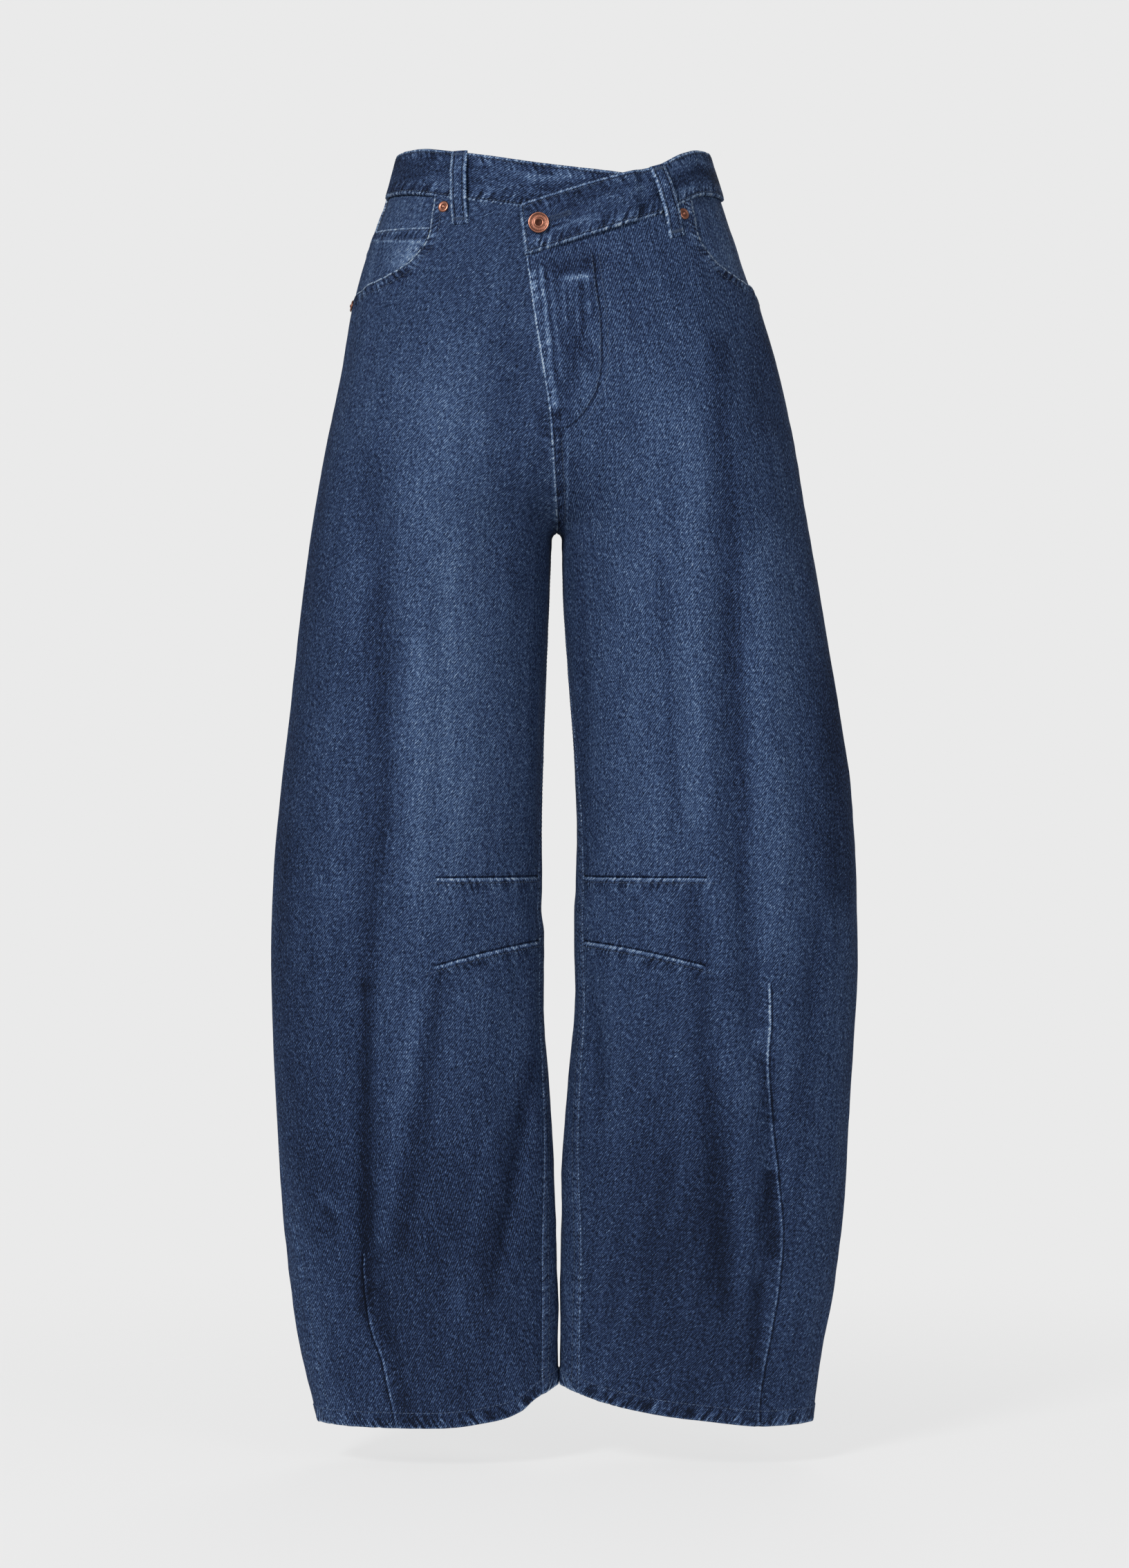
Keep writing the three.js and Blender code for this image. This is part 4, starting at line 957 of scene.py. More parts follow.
rows_of = {(side, is_front): Rows(side, is_front) for side in OTHER for is_front in (True, False)}
FRONT_SPREAD = spaced((0, 0.055, 12), (0.055, 0.82, 58), (0.82, 1, 36))
fronts, front_seams = {}, {}
for side in ("right", "left"):
    rows = rows_of[side, True]
    is_under = side == "right"
    band_foot = column(UNDER_EDGE if is_under else OVER_EDGE, 2)
    start = lambda z: mouth(z) + SEAM / 2

    def end(z, whole, is_under=is_under):
        under = UNDERLAP * (1 - smooth(FLY_FOOT, FLY_FOOT - 16, z)) if is_under else 0
        return whole + np.where(z < CROTCH, -SEAM / 2, under)

    z = front_heights(side, rows, FRONT_SPREAD, band_foot, start, end)
    turns = grid_turns(rows, FRONT_SPREAD, z, start, end)
    face, normals = on_cloth(side, turns, z)
    s, whole = rows.length_at(turns, z), rows.length(z)
    x = face[..., 0]
    marks = Marks(z.shape)
    foot = hem[side](x)
    marks.relief += hanging(s, whole, z) * smooth(0, 18, band_foot(x) - z) * smooth(-2, 12, z - foot)
    if not is_under:
        gap = whole - s
        marks.relief += FLY_LIFT * (1 - smooth(16, 34, gap)) * (1 - smooth(-230, -262, z))

    # The pocket mouth and, below it, the side seam
    mouth_z = np.linspace(*MOUTH_HEIGHTS, 60)
    mouth_path = on_cloth(side, rows.turn_at(mouth(mouth_z), mouth_z), mouth_z)
    distance, way = from_path(face, normals, mouth_path[0])
    marks.seam(np.abs(distance), way, MOUTH_ROWS, 0.5, MOUTH_DOUBLED, roll=0.5, worn=1.5, pucker=0.55)
    below_mouth = smooth(-119, -125, z)
    marks.seam(s, -z, roll=0.7, worn=0.25, pucker=0.08, ends=below_mouth)

    # The front seam below the fly's foot, on the left the fly's edge and facing rows, and the inseam
    rise = smooth(FLY_FOOT + 2, FLY_FOOT - 6, z) * (z > CROTCH)
    if is_under:
        marks.seam(whole - s, -z, roll=0.5, worn=0.5, pucker=0.2, ends=rise)
    else:
        marks.seam(whole - s, -z, FLY_ROWS, lift=0.4, width=9.5, roll=0.5, worn=1.1, pucker=0.25, ends=rise)
        marks.seam(whole - s, -z, (1.6,), roll=0.5, pucker=0.2, ends=1.0 * (z > FLY_FOOT))
        fly_path = view_path(FLY_STITCHES, side)
        distance, way = from_path(face, normals, fly_path[0])
        marks.seam(-distance, way, lift=0.12, width=2.2, worn=0.2, pucker=0.12, ends=0.75)
    marks.seam(whole - s, -z, roll=0.6, worn=0.35, pucker=0.08, ends=1.0 * (z < CROTCH))

    # The knee darts, the dart up from the hem, and the hem
    dart_paths = []
    for at_side, at_inseam, bow, stops in KNEE_DARTS:
        share = np.linspace(1, stops[side] - 0.02, 60)
        bowed = (1 - share) / (1 - stops[side])
        dart_z = mixed(at_side, at_inseam, share) + bow * 4 * bowed * (1 - bowed)
        dart_turn = mixed(rows.first(dart_z), rows.last(dart_z), share)
        dart_paths.append(on_cloth(side, dart_turn, dart_z))
        distance, way = from_path(face, normals, dart_paths[-1][0])
        distance = -distance if side == "left" else distance
        long = way.max()
        ends = 1 - smooth(long - 14, long - 1, way)
        marks.seam(distance, way, (DART_ROW,), lift=0.9, width=6.5, roll=1.5, worn=0.9, pucker=0.4, ends=ends)
    distance, way = from_path(face, normals, view_path(HEM_DART[side], side)[0])
    distance = distance if side == "right" else -distance
    worn = 0.8 + 0.7 * (1 - smooth(80, 130, way)) * (side == "left")
    marks.seam(distance, way, (), 0.4, 6, roll=1.3, worn=worn, pucker=0.15, ends=smooth(0, 30, way))
    marks.seam(z - foot, s, (HEM_ROW,), lift=0.8, width=HEM_ROW + 1, roll=0.4, worn=0.7, pucker=0.5)

    # Faded wear, painted shade in the folds, creases and along the outseams, and painted highlights on the
    # ridges, all dying away towards the side seam
    marks.paint(seen_at(face), FRONT_FADE_AND_SHADE)
    marks.fade *= smooth(0, 45, s)
    warp = rows.weave_place(s, z)
    piece = cloth_piece("front_" + side + "_cloth", mid_denim, face, normals, CLOTH, warp, marks)
    dress(piece, "front_" + side, ["waistband"])
    fronts[side] = piece
    if not is_under:
        front_seams["fly"] = fly_path
    front_seams[side] = {"mouth": mouth_path, "darts": dart_paths, "foot": (turns[-1], z[-1])}

# Topstitching on the fronts: thick cotton-wrapped thread, hardly darker than the denim. It runs in single or
# double rows along the pocket mouths, knee darts, fly and hems, lockstitched through all the layers.
THREAD_PITCH = 3.3
STITCH_LONG = 2.6
STITCH_WIDE = 0.62
LAID_FROM = 1.0  # how far above the cloth a path starts before its thread is laid down


def thread_group(name, sizes, build):
    """A node group that lays thread along paths on a cloth: build makes the thread's mesh from the group's
    inputs and the nearest places on the cloth."""
    group = bpy.data.node_groups.new(name, "GeometryNodeTree")
    sockets = [("Path", "Geometry"), ("Cloth", "Object"), *((size, "Float") for size in sizes)]
    for label, kind in sockets + [("Thread", "Material")]:
        group.interface.new_socket(label, in_out="INPUT", socket_type="NodeSocket" + kind)
    group.interface.new_socket("Stitches", in_out="OUTPUT", socket_type="NodeSocketGeometry")
    tree = Tree(group)
    given = tree.node("NodeGroupInput")
    named = {"Object": given.other("Cloth")}
    cloth = tree.node("GeometryNodeObjectInfo", {"transform_space": "RELATIVE"}, named, "Geometry")
    sought = {"Geometry": cloth, "Sample Position": tree.node("GeometryNodeInputPosition")}
    nearest = tree.node("GeometryNodeProximity", {"target_element": "FACES"}, sought)
    real = tree.node("GeometryNodeRealizeInstances", {}, {0: build(tree, given, nearest)})
    coloured = tree.node("GeometryNodeSetMaterial", {}, {"Geometry": real, "Material": given.other("Thread")})
    tree.node("NodeGroupOutput", {}, {0: coloured})
    return group


def running_stitches(tree, given, nearest):
    """Long beads of thread set end to end along each path."""
    line = tree.node("GeometryNodeMeshToCurve", {}, {0: given})
    spacing = {"Curve": line, "Length": given.other("Pitch")}
    laid = tree.node("GeometryNodeCurveToPoints", {"mode": "LENGTH"}, spacing)
    turn = tree.node("FunctionNodeAlignRotationToVector", {"axis": "Z"}, {"Vector": laid.other("Tangent")})
    points = tree.node("GeometryNodeSetPosition", {}, {"Geometry": laid, "Position": nearest})
    bead = tree.node("GeometryNodeMeshUVSphere", {}, {"Segments": 6, "Rings": 4, "Radius": 0.5})
    bead = tree.node("GeometryNodeSetShadeSmooth", {}, {0: bead})
    width, length = given.other("Width"), given.other("Length")
    size = tree.node("ShaderNodeCombineXYZ", {}, {0: width, 1: width, 2: length})
    given_points = {"Points": points, "Instance": bead, "Rotation": turn, "Scale": size}
    return tree.node("GeometryNodeInstanceOnPoints", {}, given_points)


def thread(name, dark, light):
    """Cotton-wrapped thread: fine fibres, a little uneven in colour."""
    made, tree = material(name)
    place = tree.node("ShaderNodeTexCoord", output="Object")
    strands = tree.node("ShaderNodeTexNoise", {}, {"Vector": place, "Scale": 900.0, "Detail": 2.0})
    patchy = tree.node("ShaderNodeTexNoise", {}, {"Vector": place, "Scale": 120.0, "Detail": 1.0})
    mix = (strands * 0.6 + patchy * 0.9 - 0.25).clamped()
    colour = tree.node("ShaderNodeMix", {"data_type": "RGBA"}, {0: mix, 6: dark, 7: light}, 2)
    bump = tree.node("ShaderNodeBump", {}, {"Strength": 0.5, "Distance": 0.0003, "Height": strands})
    finish_surface(tree, tree.node("ShaderNodeBsdfPrincipled", {}, {
        "Base Color": colour, "Roughness": 0.8, "Normal": bump, "Specular IOR Level": 0.3,
    }))
    return made


navy_thread = thread("navy_thread", linear(24, 33, 56), linear(104, 124, 154))
stitching = thread_group("topstitching", ("Pitch", "Length", "Width"), running_stitches)


def sew(name, paths, cloth, tree=stitching, **sizes):
    """Stitches along paths of points and normals, laid on a piece of cloth from a little above it."""
    mesh = bpy.data.meshes.new(name + "_path")
    joined = np.concatenate([points + normals * LAID_FROM for points, normals in paths]) * MM
    edges, begun = [], 0
    for points, _ in paths:
        edges += [(begun + k, begun + k + 1) for k in range(len(points) - 1)]
        begun += len(points)
    mesh.from_pydata(joined.tolist(), edges, [])
    piece = placed(name, mesh)
    values = {"Pitch": THREAD_PITCH * MM, "Length": STITCH_LONG * MM, "Width": STITCH_WIDE * MM}
    values.update(Cloth=cloth, Thread=navy_thread, **sizes)
    modifier = piece.modifiers.new("sewing", "NODES")
    modifier.node_group = tree
    for socket in tree.interface.items_tree:
        if socket.in_out == "INPUT" and socket.name in values:
            modifier[socket.identifier] = values[socket.name]
    sewn = bpy.data.meshes.new_from_object(piece.evaluated_get(bpy.context.evaluated_depsgraph_get()))
    piece.modifiers.clear()
    piece.data = sewn
    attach(piece, "root")
    return piece


def beside(path, off):
    """A path moved sideways on the cloth, to its left seen from outside."""
    points, normals = path
    return points + unit(np.cross(normals, np.gradient(points, axis=0))) * off, normals


PATH_STEP = 3.0


def down_edge(rows, off, high, low):
    """A path down a panel at a distance from its inner edge."""
    z = np.arange(high, low, -PATH_STEP)
    return on_cloth(rows.side, rows.turn_at(rows.length(z) - off, z), z)


for side in ("right", "left"):
    rows, seams = rows_of[side, True], front_seams[side]
    towards = 1 if side == "right" else -1
    paths = [beside(seams["mouth"], towards * off) for off in MOUTH_ROWS]
    paths += [beside(path, towards * DART_ROW) for path in seams["darts"]]
    hem_turns, hem_z = seams["foot"]
    paths.append(on_cloth(side, hem_turns, hem_z + HEM_ROW))
    if side == "left":
        paths += [down_edge(rows, off, *RISE_SEWN) for off in FLY_ROWS]
        paths += [front_seams["fly"], beside(front_seams["fly"], FLY_STITCHES_APART)]
    sew("stitches_front_" + side, paths, fronts[side])

# Pocket facings: one layer of faded denim behind each pocket mouth. The wearer's right one carries the coin
# pocket, a smaller patch with a doubled and stitched top edge.
FACING_SET = 2.5
FACING_THICK = 1.2
FACING_FOOT = -125.0
FACING_UNDER = 8.0  # how far it reaches in under the pocket mouth
COIN_SET = 0.6
COIN_THICK = 1.1
COIN_ROWS = (1.6, 9.0)
COIN_TOP = (-66.0, -72.0)  # at the side seam and at the pocket mouth
COIN_FOOT = -117.0
FACING_WEAR = [(-140, -84, -108, -84, 22, 0.14), (118, -78, 138, -100, 16, 0.05)]
# Coin pocket strokes: a faded patch, a darker patch, and a painted highlight along the second row with
# painted shade just above it
COIN_WEAR_AND_PAINTED_LIGHT = [
    (-137, -84, -112, -92, 15, 0.22), (-150, -100, -112, -112, 8, -0.1),
    (-158, -72, -100, -73, 1.2, 0.22), (-158, -68, -100, -69, 2.6, -0.09),
]
worn_denim = denim("worn_blue_denim", 0.39, patchy=2.0)


def laid(rows, spread, shares, start, end, top, foot, out):
    """A small piece laid along a panel's rows, out from its face: its turns, heights, points and normals."""
    high, low = (following(rows, spread, edge, -90, start, end) for edge in (top, foot))
    z = mixed(high, low, np.array(shares)[:, None])
    turns = grid_turns(rows, spread, z, start, end)
    points, normals = on_cloth(rows.side, turns, z)
    return turns, z, points + normals * out, normals


for side in ("right", "left"):
    rows = rows_of[side, True]
    band_foot = column(UNDER_EDGE if side == "right" else OVER_EDGE, 2)
    turns, z, face, normals = laid(
        rows, spaced((0, 1, 60)), spaced((0, 1, 50)), lambda z: SEAM / 2 + 0 * z,
        lambda z, whole: mouth(np.maximum(z, FACING_FOOT + 7)) + FACING_UNDER,
        lambda x, u: band_foot(x) + 1.5, lambda x, u: FACING_FOOT + 0 * x, -FACING_SET,
    )
    s = rows.length_at(turns, z)
    marks = Marks(z.shape)
    marks.relief += 0.5 * ripple(5, s / 18, z / 24) * smooth(0, 10, s) + 0.2 * ripple(6, s / 6, z / 9) - 0.3
    marks.seam(s, -z, roll=0.4, pucker=0.4)
    marks.paint(seen_at(face), FACING_WEAR)
    name, warp = "pocket_facing_" + side, rows.weave_place(s, z)
    piece = cloth_piece(name + "_cloth", worn_denim, face, normals, FACING_THICK, warp, marks)
    dress(piece, name, ["front_" + side])

rows = rows_of["right", True]
turns, z, face, normals = laid(
    rows, spaced((0, 1, 60)), spaced((0, 0.3, 20), (0.3, 1, 22)), lambda z: 4 + 0 * z,
    lambda z, whole: mouth(z) - 1.5,
    lambda x, u: mixed(*COIN_TOP, u), lambda x, u: COIN_FOOT + 0 * u, -COIN_SET,
)
s = rows.length_at(turns, z)
marks = Marks(z.shape)
marks.relief += 0.25 * ripple(7, s / 14, z / 20) - 0.2
marks.seam(z[:1] - z, s, COIN_ROWS, lift=0.35, width=10.5, roll=0.3, pucker=0.4)
# Faded wear, and painted highlight and shade along the second row
marks.paint(seen_at(face), COIN_WEAR_AND_PAINTED_LIGHT)
coin_pocket = cloth_piece(
    "coin_pocket_cloth", worn_denim, face, normals, COIN_THICK, np.stack([s, z], -1), marks, bulge=0.4
)
dress(coin_pocket, "coin_pocket", ["pocket_facing_right"])


def shifted(path, out):
    return path[0] + path[1] * out, path[1]


coin_turns = turns[0, 2:-2]
sew("stitches_coin_pocket", [
    shifted(on_cloth("right", coin_turns, z[0, 2:-2] - off), -COIN_SET) for off in COIN_ROWS
], coin_pocket)

# Backs: two panels of the same denim from the yoke down to the hem. Their seat seam and inseams are felled,
# with two rows of stitches on the back's side, and the inseams turn to the front low on the legs.
FELLED_ROWS = (1.5, 7.5)
INSEAM_SEWN = (-320.0, -1012.0)
SEAT_SEWN = (-120.0, -306.0)
YOKE_HEIGHTS = (-86.0, -116.0)  # at the side seam and the seat seam
# Faded strokes as in FRONT_FADE_AND_SHADE, at their real places sideways and in height
BACK_WEAR = [
    (-95, -200, -100, -330, 50, 0.08), (95, -200, 100, -330, 50, 0.08), (110, -420, 115, -600, 50, 0.03),
]
BACK_SPREAD = spaced((0, 0.06, 8), (0.06, 0.84, 50), (0.84, 1, 30))


def yoke_seam(u):
    return mixed(*YOKE_HEIGHTS, u)


def back_heights(side, rows, start, end):
    """Heights of the back's rows, from the yoke down to the hem."""
    foot = following(rows, BACK_SPREAD, lambda x, u: hem[side](x), -1035, start, end)
    top = yoke_seam(BACK_SPREAD) - SEAM / 2
    lines = [mixed(top, HIP_LINE, share) for share in np.linspace(0, 1, 17)[:-1]]
    levels = spaced(
        (HIP_LINE, -290, 32), (-290, -312, 12), (-312, -314, 5), (-314, -330, 12), (-330, HEM_LINE, 160)
    )
    lines += [np.full(len(BACK_SPREAD), z) for z in levels]
    return carried_on(lines, ((foot + 14, 13), (foot, 12)))


for side in ("right", "left"):
    rows = rows_of[side, False]
    start = lambda z: SEAM / 2 + 0 * z
    end = lambda z, whole: whole - np.where(z < CROTCH, SEAM / 2, 0)
    z = back_heights(side, rows, start, end)
    turns = grid_turns(rows, BACK_SPREAD, z, start, end)
    face, normals = on_cloth(side, turns, z)
    s, whole = rows.length_at(turns, z), rows.length(z)
    foot = hem[side](face[..., 0])
    marks = Marks(z.shape)
    marks.relief += hanging(s, whole, z) * smooth(0, 18, z[:1] - z) * smooth(-2, 12, z - foot)
    marks.seam(s, -z, roll=0.7, worn=0.25, pucker=0.08)
    is_felled = 1.0 * (z < CROTCH) if side == "right" else 1.0
    marks.seam(whole - s, -z, FELLED_ROWS, 0.4, 9.0, roll=0.6, worn=0.5, pucker=0.2, ends=is_felled)
    marks.seam(z[:1] - z, s, roll=0.6)
    marks.seam(z - foot, s, (HEM_ROW,), lift=0.8, width=HEM_ROW + 1, roll=0.4, pucker=0.6)
    marks.paint((face[..., 0], z), BACK_WEAR)
    warp = rows.weave_place(s, z)
    piece = cloth_piece("back_" + side + "_cloth", mid_denim, face, normals, CLOTH, warp, marks)
    dress(piece, "back_" + side, ["yoke_" + side])
    paths = [on_cloth(side, turns[-1], z[-1] + HEM_ROW)]
    paths += [down_edge(rows, off, *INSEAM_SEWN) for off in FELLED_ROWS]
    if side == "left":
        paths += [down_edge(rows, off, *SEAT_SEWN) for off in FELLED_ROWS]
    sew("stitches_back_" + side, paths, piece)

# Yokes: a shaped piece on each side between the back of the waistband and the back panel.
# Its lower edge is felled over the panel with two rows of stitches.
YOKE_SEWN = (-54.0, -112.0)
# Place sideways, and the top and foot of the band's back there
BACK_EDGE = np.array([(-140, -4.5, -37), (-60, -11, -48), (SEAT_X, -12, -50), (50, -11, -48), (128, -3, -38)])
for side in ("right", "left"):
    rows = rows_of[side, False]
    turns, z, face, normals = laid(
        rows, spaced((0, 1, 80)), spaced((0, 0.7, 20), (0.7, 1, 16)), lambda z: SEAM / 2 + 0 * z,
        lambda z, whole: whole,
        lambda x, u: column(BACK_EDGE, 2)(x) + 1.5, lambda x, u: yoke_seam(u) + SEAM / 2, 0,
    )
    s, whole = rows.length_at(turns, z), rows.length(z)
    marks = Marks(z.shape)
    marks.relief += 0.4 * ripple(8, s / 22, z / 18) * smooth(0, 12, s)
    marks.seam(s, -z, roll=0.6)
    marks.seam(whole - s, -z, FELLED_ROWS if side == "left" else (), roll=0.5, lift=0.3, width=9)
    marks.seam(z - z[-1:], s, FELLED_ROWS, lift=0.4, width=9.0, roll=0.5, pucker=0.5)
    warp = rows.weave_place(s, z)
    piece = cloth_piece("yoke_" + side + "_cloth", mid_denim, face, normals, CLOTH, warp, marks)
    dress(piece, "yoke_" + side, ["waistband"])
    paths = [on_cloth(side, turns[-1, 2:-2], z[-1, 2:-2] + off) for off in FELLED_ROWS]
    if side == "left":
        paths += [down_edge(rows, off, *YOKE_SEWN) for off in FELLED_ROWS]
    sew("stitches_yoke_" + side, paths, piece)

# Back pockets: a patch of worn denim with a pointed foot on each back panel, its edges turned under and sewn
# with two rows, and its top hemmed with one.
POCKET_GAP = 24.0
POCKET_WIDE = 138.0
POCKET_TALL = 128.0
POCKET_TOP = (-142.0, -150.0)
POCKET_DRAW = 7.0  # how far each side leans in towards the foot
POCKET_POINT = 22.0
POCKET_SLANT = 0.93  # what a height above the slanting foot is worth square to it
POCKET_OUT = 3.0
POCKET_ROWS = (1.6, 7.4)
POCKET_HEM = 13.0
for side in ("right", "left"):
    rows = rows_of[side, False]
    draw = lambda z: POCKET_DRAW * smooth(POCKET_TOP[1], POCKET_TOP[1] - POCKET_TALL, z)
    start = lambda z: rows.length(z) - POCKET_GAP - POCKET_WIDE + draw(z)
    end = lambda z, whole: whole - POCKET_GAP - draw(z)
    pocket_top = lambda u: mixed(*POCKET_TOP, u)
    pocket_foot = lambda u: pocket_top(u) - POCKET_TALL - POCKET_POINT * (1 - np.abs(2 * u - 1))
    spread = spaced((0, 0.1, 10), (0.1, 0.9, 52), (0.9, 1, 10))
    turns, z, face, normals = laid(
        rows, spread, spaced((0, 0.14, 16), (0.14, 0.9, 40), (0.9, 1, 12)), start, end,
        lambda x, u: pocket_top(u), lambda x, u: pocket_foot(u), POCKET_OUT,
    )
    s, whole = rows.length_at(turns, z), rows.length(z)
    marks = Marks(z.shape)
    marks.relief += 0.3 * ripple(9, s / 20, z / 24) - 0.1
    up_foot = (z - pocket_foot(spread)) * POCKET_SLANT
    for distance, way in ((s - start(z), -z), (end(z, whole) - s, -z), (up_foot, s)):
        marks.seam(distance, way, POCKET_ROWS, lift=0.2, width=9, roll=0.4, pucker=0.4)
    marks.seam(z[:1] - z, s, (POCKET_HEM,), lift=0.3, width=POCKET_HEM + 1, roll=0.3, pucker=0.4)
    warp = rows.weave_place(s, z)
    piece = cloth_piece("back_pocket_" + side + "_cloth", worn_denim, face, normals, CLOTH, warp, marks)
    dress(piece, "back_pocket_" + side, ["back_" + side])
    paths = []
    for off in POCKET_ROWS:
        down = np.linspace(POCKET_TOP[1] - 1, POCKET_TOP[1] - POCKET_TALL + off, 44)
        paths.append((down, start(down) + off))
        paths.append((down, end(down, rows.length(down)) - off))
        share = np.linspace(0.02 + off / POCKET_WIDE, 0.98 - off / POCKET_WIDE, 60)
        low = pocket_foot(share) + off * 1.08
        paths.append((low, mixed(start(low), end(low, rows.length(low)), share)))
    share = np.linspace(0.02, 0.98, 50)
    high = pocket_top(share) - POCKET_HEM
    paths.append((high, mixed(start(high), end(high, rows.length(high)), share)))
    sew("stitches_back_pocket_" + side, [
        shifted(on_cloth(side, rows.turn_at(way, level), level), POCKET_OUT) for level, way in paths
    ], piece)

# Waistband: a doubled strip of dark denim with its warp along the waist, folded at the top and stitched along
# every edge. It runs from its under end behind the button, round the back, to the over end that crosses it.
dark_denim = denim("dark_blue_denim", 0.28, patchy=4.0)
BAND_OUT = 1.2
BAND_THICK = 3.0
BAND_LEVEL = -20.0
OVER_LONG = 190.0
OVER_PALER = 0.03
OVER_LIFT = 3.6
OVER_FADE = (57.0, 66.0)
OVER_SLANT = 5.0
BAND_ENDS = (56.0, -33.0)
BAND_ROW = 2.2
BAND_PITCH = 1.7
# Worn and darker patches, the buttonhole's slit painted as a dark line of shade, and the pale edges beside
# it, as the photograph shows them
BAND_WEAR_AND_SLIT_SHADE = [
    (8, -62, 34, -54, 5, 0.10), (40, -52, 62, -44, 6, 0.07), (92, -36, 108, -30, 6, 0.08),
    (-66, -26, -20, -30, 5, 0.17), (-30, -20, 20, -18, 5, 0.17), (-125, -24, -104, -34, 6, 0.05),
    (-140, -10, -106, -18, 9, -0.07),
    (-100, -12, -80, -16, 5, -0.05), (66, -20, 84, -16, 5, -0.06),
    (-8, -60.5, 3.5, -57.3, 0.9, -0.3), (-8, -62.6, 4, -59.4, 1.0, 0.2), (-7, -58.4, 5, -55.2, 1.0, 0.16),
]


def waist_cloth(is_front, x, z):
    """Points and normals on the face of the waist, front or back, by their place sideways and height."""
    x, z = np.broadcast_arrays(np.asarray(x, float), np.asarray(z, float))
    way = 1 if is_front else -1
    found = []
    for side in ("right", "left"):
        low, high = np.zeros(x.shape), np.full(x.shape, 2.0)
        for _ in range(20):
            turn = (low + high) / 2
            short = (cloth_point(side, way * turn, z)[..., 0] < x) == (side == "right")
            low, high = np.where(short, turn, low), np.where(short, high, turn)
        found.append(on_cloth(side, way * (low + high) / 2, z))
    is_right = (x < (fly_x(z) if is_front else SEAT_X))[..., None]
    return tuple(np.where(is_right, a, b) for a, b in zip(*found))


def band_run(is_front, first, last):
    """Places sideways, evenly spaced along the band."""
    x = mixed(first, last, 0.5 - 0.5 * np.cos(np.linspace(0, math.pi, 400)))
    way = along_path(waist_cloth(is_front, x, BAND_LEVEL)[0])
    return np.interp(np.linspace(0, way[-1], 2 * round(way[-1] / BAND_PITCH / 2) + 1)[:-1], way, x)


ends_at = outer["right"](BAND_LEVEL), outer["left"](BAND_LEVEL)
runs = []
for table, is_front, first, last in (
    (UNDER_EDGE, True, BAND_ENDS[0], ends_at[0]),
    (BACK_EDGE, False, ends_at[0], ends_at[1]),
    (OVER_EDGE, True, ends_at[1], BAND_ENDS[1]),
):
    stations = band_run(is_front, first, last)
    if table is OVER_EDGE:
        stations = np.append(stations, last)
    down = spaced((0, 0.14, 6), (0.14, 0.86, 16), (0.86, 1, 6))[:, None]
    is_right = stations < sum(ends_at) / 2
    near, far = (np.where(is_right, at["right"](BAND_LEVEL), at["left"](BAND_LEVEL)) for at in (apex, outer))
    share = np.maximum(0, (stations - near) / (far - near))
    slant = OVER_SLANT * smooth(40, BAND_ENDS[1], stations) * down if table is OVER_EDGE else 0
    px = stations + 0 * down
    for _ in range(4):
        z = mixed(column(table, 1)(px), column(table, 2)(px), down)
        wider = np.where(is_right, outer["right"](z), outer["left"](z)) - far
        px = stations + wider * share + slant
    points, normals = waist_cloth(is_front, px, z)
    lifted = OVER_LIFT * (1 - smooth(*OVER_FADE, px)) if table is OVER_EDGE else 0 * px
    runs.append((points + normals * (BAND_OUT + lifted)[..., None], normals))
face, normals = (np.concatenate(parts, axis=1) for parts in zip(*runs))
middle = face[face.shape[0] // 2]
way = along_path(middle)[None]
width = np.linalg.norm(face[0] - face[-1], axis=1)
below_top = width * down
marks = Marks(face.shape[:2])
marks.relief += 0.35 * ripple(10, way / 16, below_top / 26) + 0.2 * ripple(12, way / 6, below_top / 14) - 0.2
marks.seam(below_top, way, (BAND_ROW,), lift=0.1, width=8, roll=0.3, pucker=0.3)
marks.seam(width - below_top, way, (BAND_ROW,), lift=0.1, width=8, roll=0.3, pucker=0.5)
for to_end in (way, way[:, -1:] - way):
    marks.seam(to_end + 0 * below_top, below_top, (BAND_ROW,), lift=0.1, width=6, roll=0.3, pucker=0.2)
marks.fade += OVER_PALER * smooth(0, 60, way - way[:, -1:] + OVER_LONG)
# Worn patches, and the buttonhole's slit painted as a dark line of shade
marks.paint(seen_at(face), BAND_WEAR_AND_SLIT_SHADE)
waistband = cloth_piece(
    "waistband_cloth", dark_denim, face, normals, BAND_THICK,
    np.stack([below_top, way + 0 * below_top], -1), marks, bulge=0.9, behind=0.4,
)
dress(waistband, "waistband", [])

edge_share = BAND_ROW / width.mean()
paths = []
for share in (edge_share, 1 - edge_share):
    k = np.searchsorted(down[:, 0], share) - 1
    t = (share - down[k, 0]) / (down[k + 1, 0] - down[k, 0])
    paths.append((mixed(face[k, 2:-2], face[k + 1, 2:-2], t)[::2], normals[k, 2:-2][::2]))
for column_at in (1, -2):
    paths.append((face[2:-2, column_at], normals[2:-2, column_at]))
sew("stitches_waistband", paths, waistband)

# Belt loops: five folded strips that stand off the band in the middle, each with two rows of stitches down it
# and a bartack at both ends.
LOOP_WIDE = 13.0
LOOP_THICK = 2.0
LOOP_SKIN = LOOP_THICK - 0.2  # the cloth is a little thinner than the CAD loop
LOOP_ROW = 2.7
# Share of the way down a loop, and how far it stands off the waist there
LOOP_OFF = np.array([(0, 1.5), (0.12, 2.6), (0.3, 4.6), (0.6, 4.6), (0.8, 2.9), (0.9, 0.9), (1, 0.3)])
# Whether each loop is on the front, and the place sideways and height of its top and its foot
LOOPS = {
    "belt_loop_front_right": (True, -81, -11.6, -81, -71),
    "belt_loop_front_left": (True, 76, -23, 92.5, -80),
    "belt_loop_back_right": (False, -84, -9.6, -90, -69),
    "belt_loop_back_left": (False, 74, -9.6, 80, -69),
    "belt_loop_centre_back": (False, SEAT_X, -12.2, SEAT_X, -72),
}
TACK_WIDE = 11.0
TACK_DEEP = 2.4
TACK_THREAD = 0.42


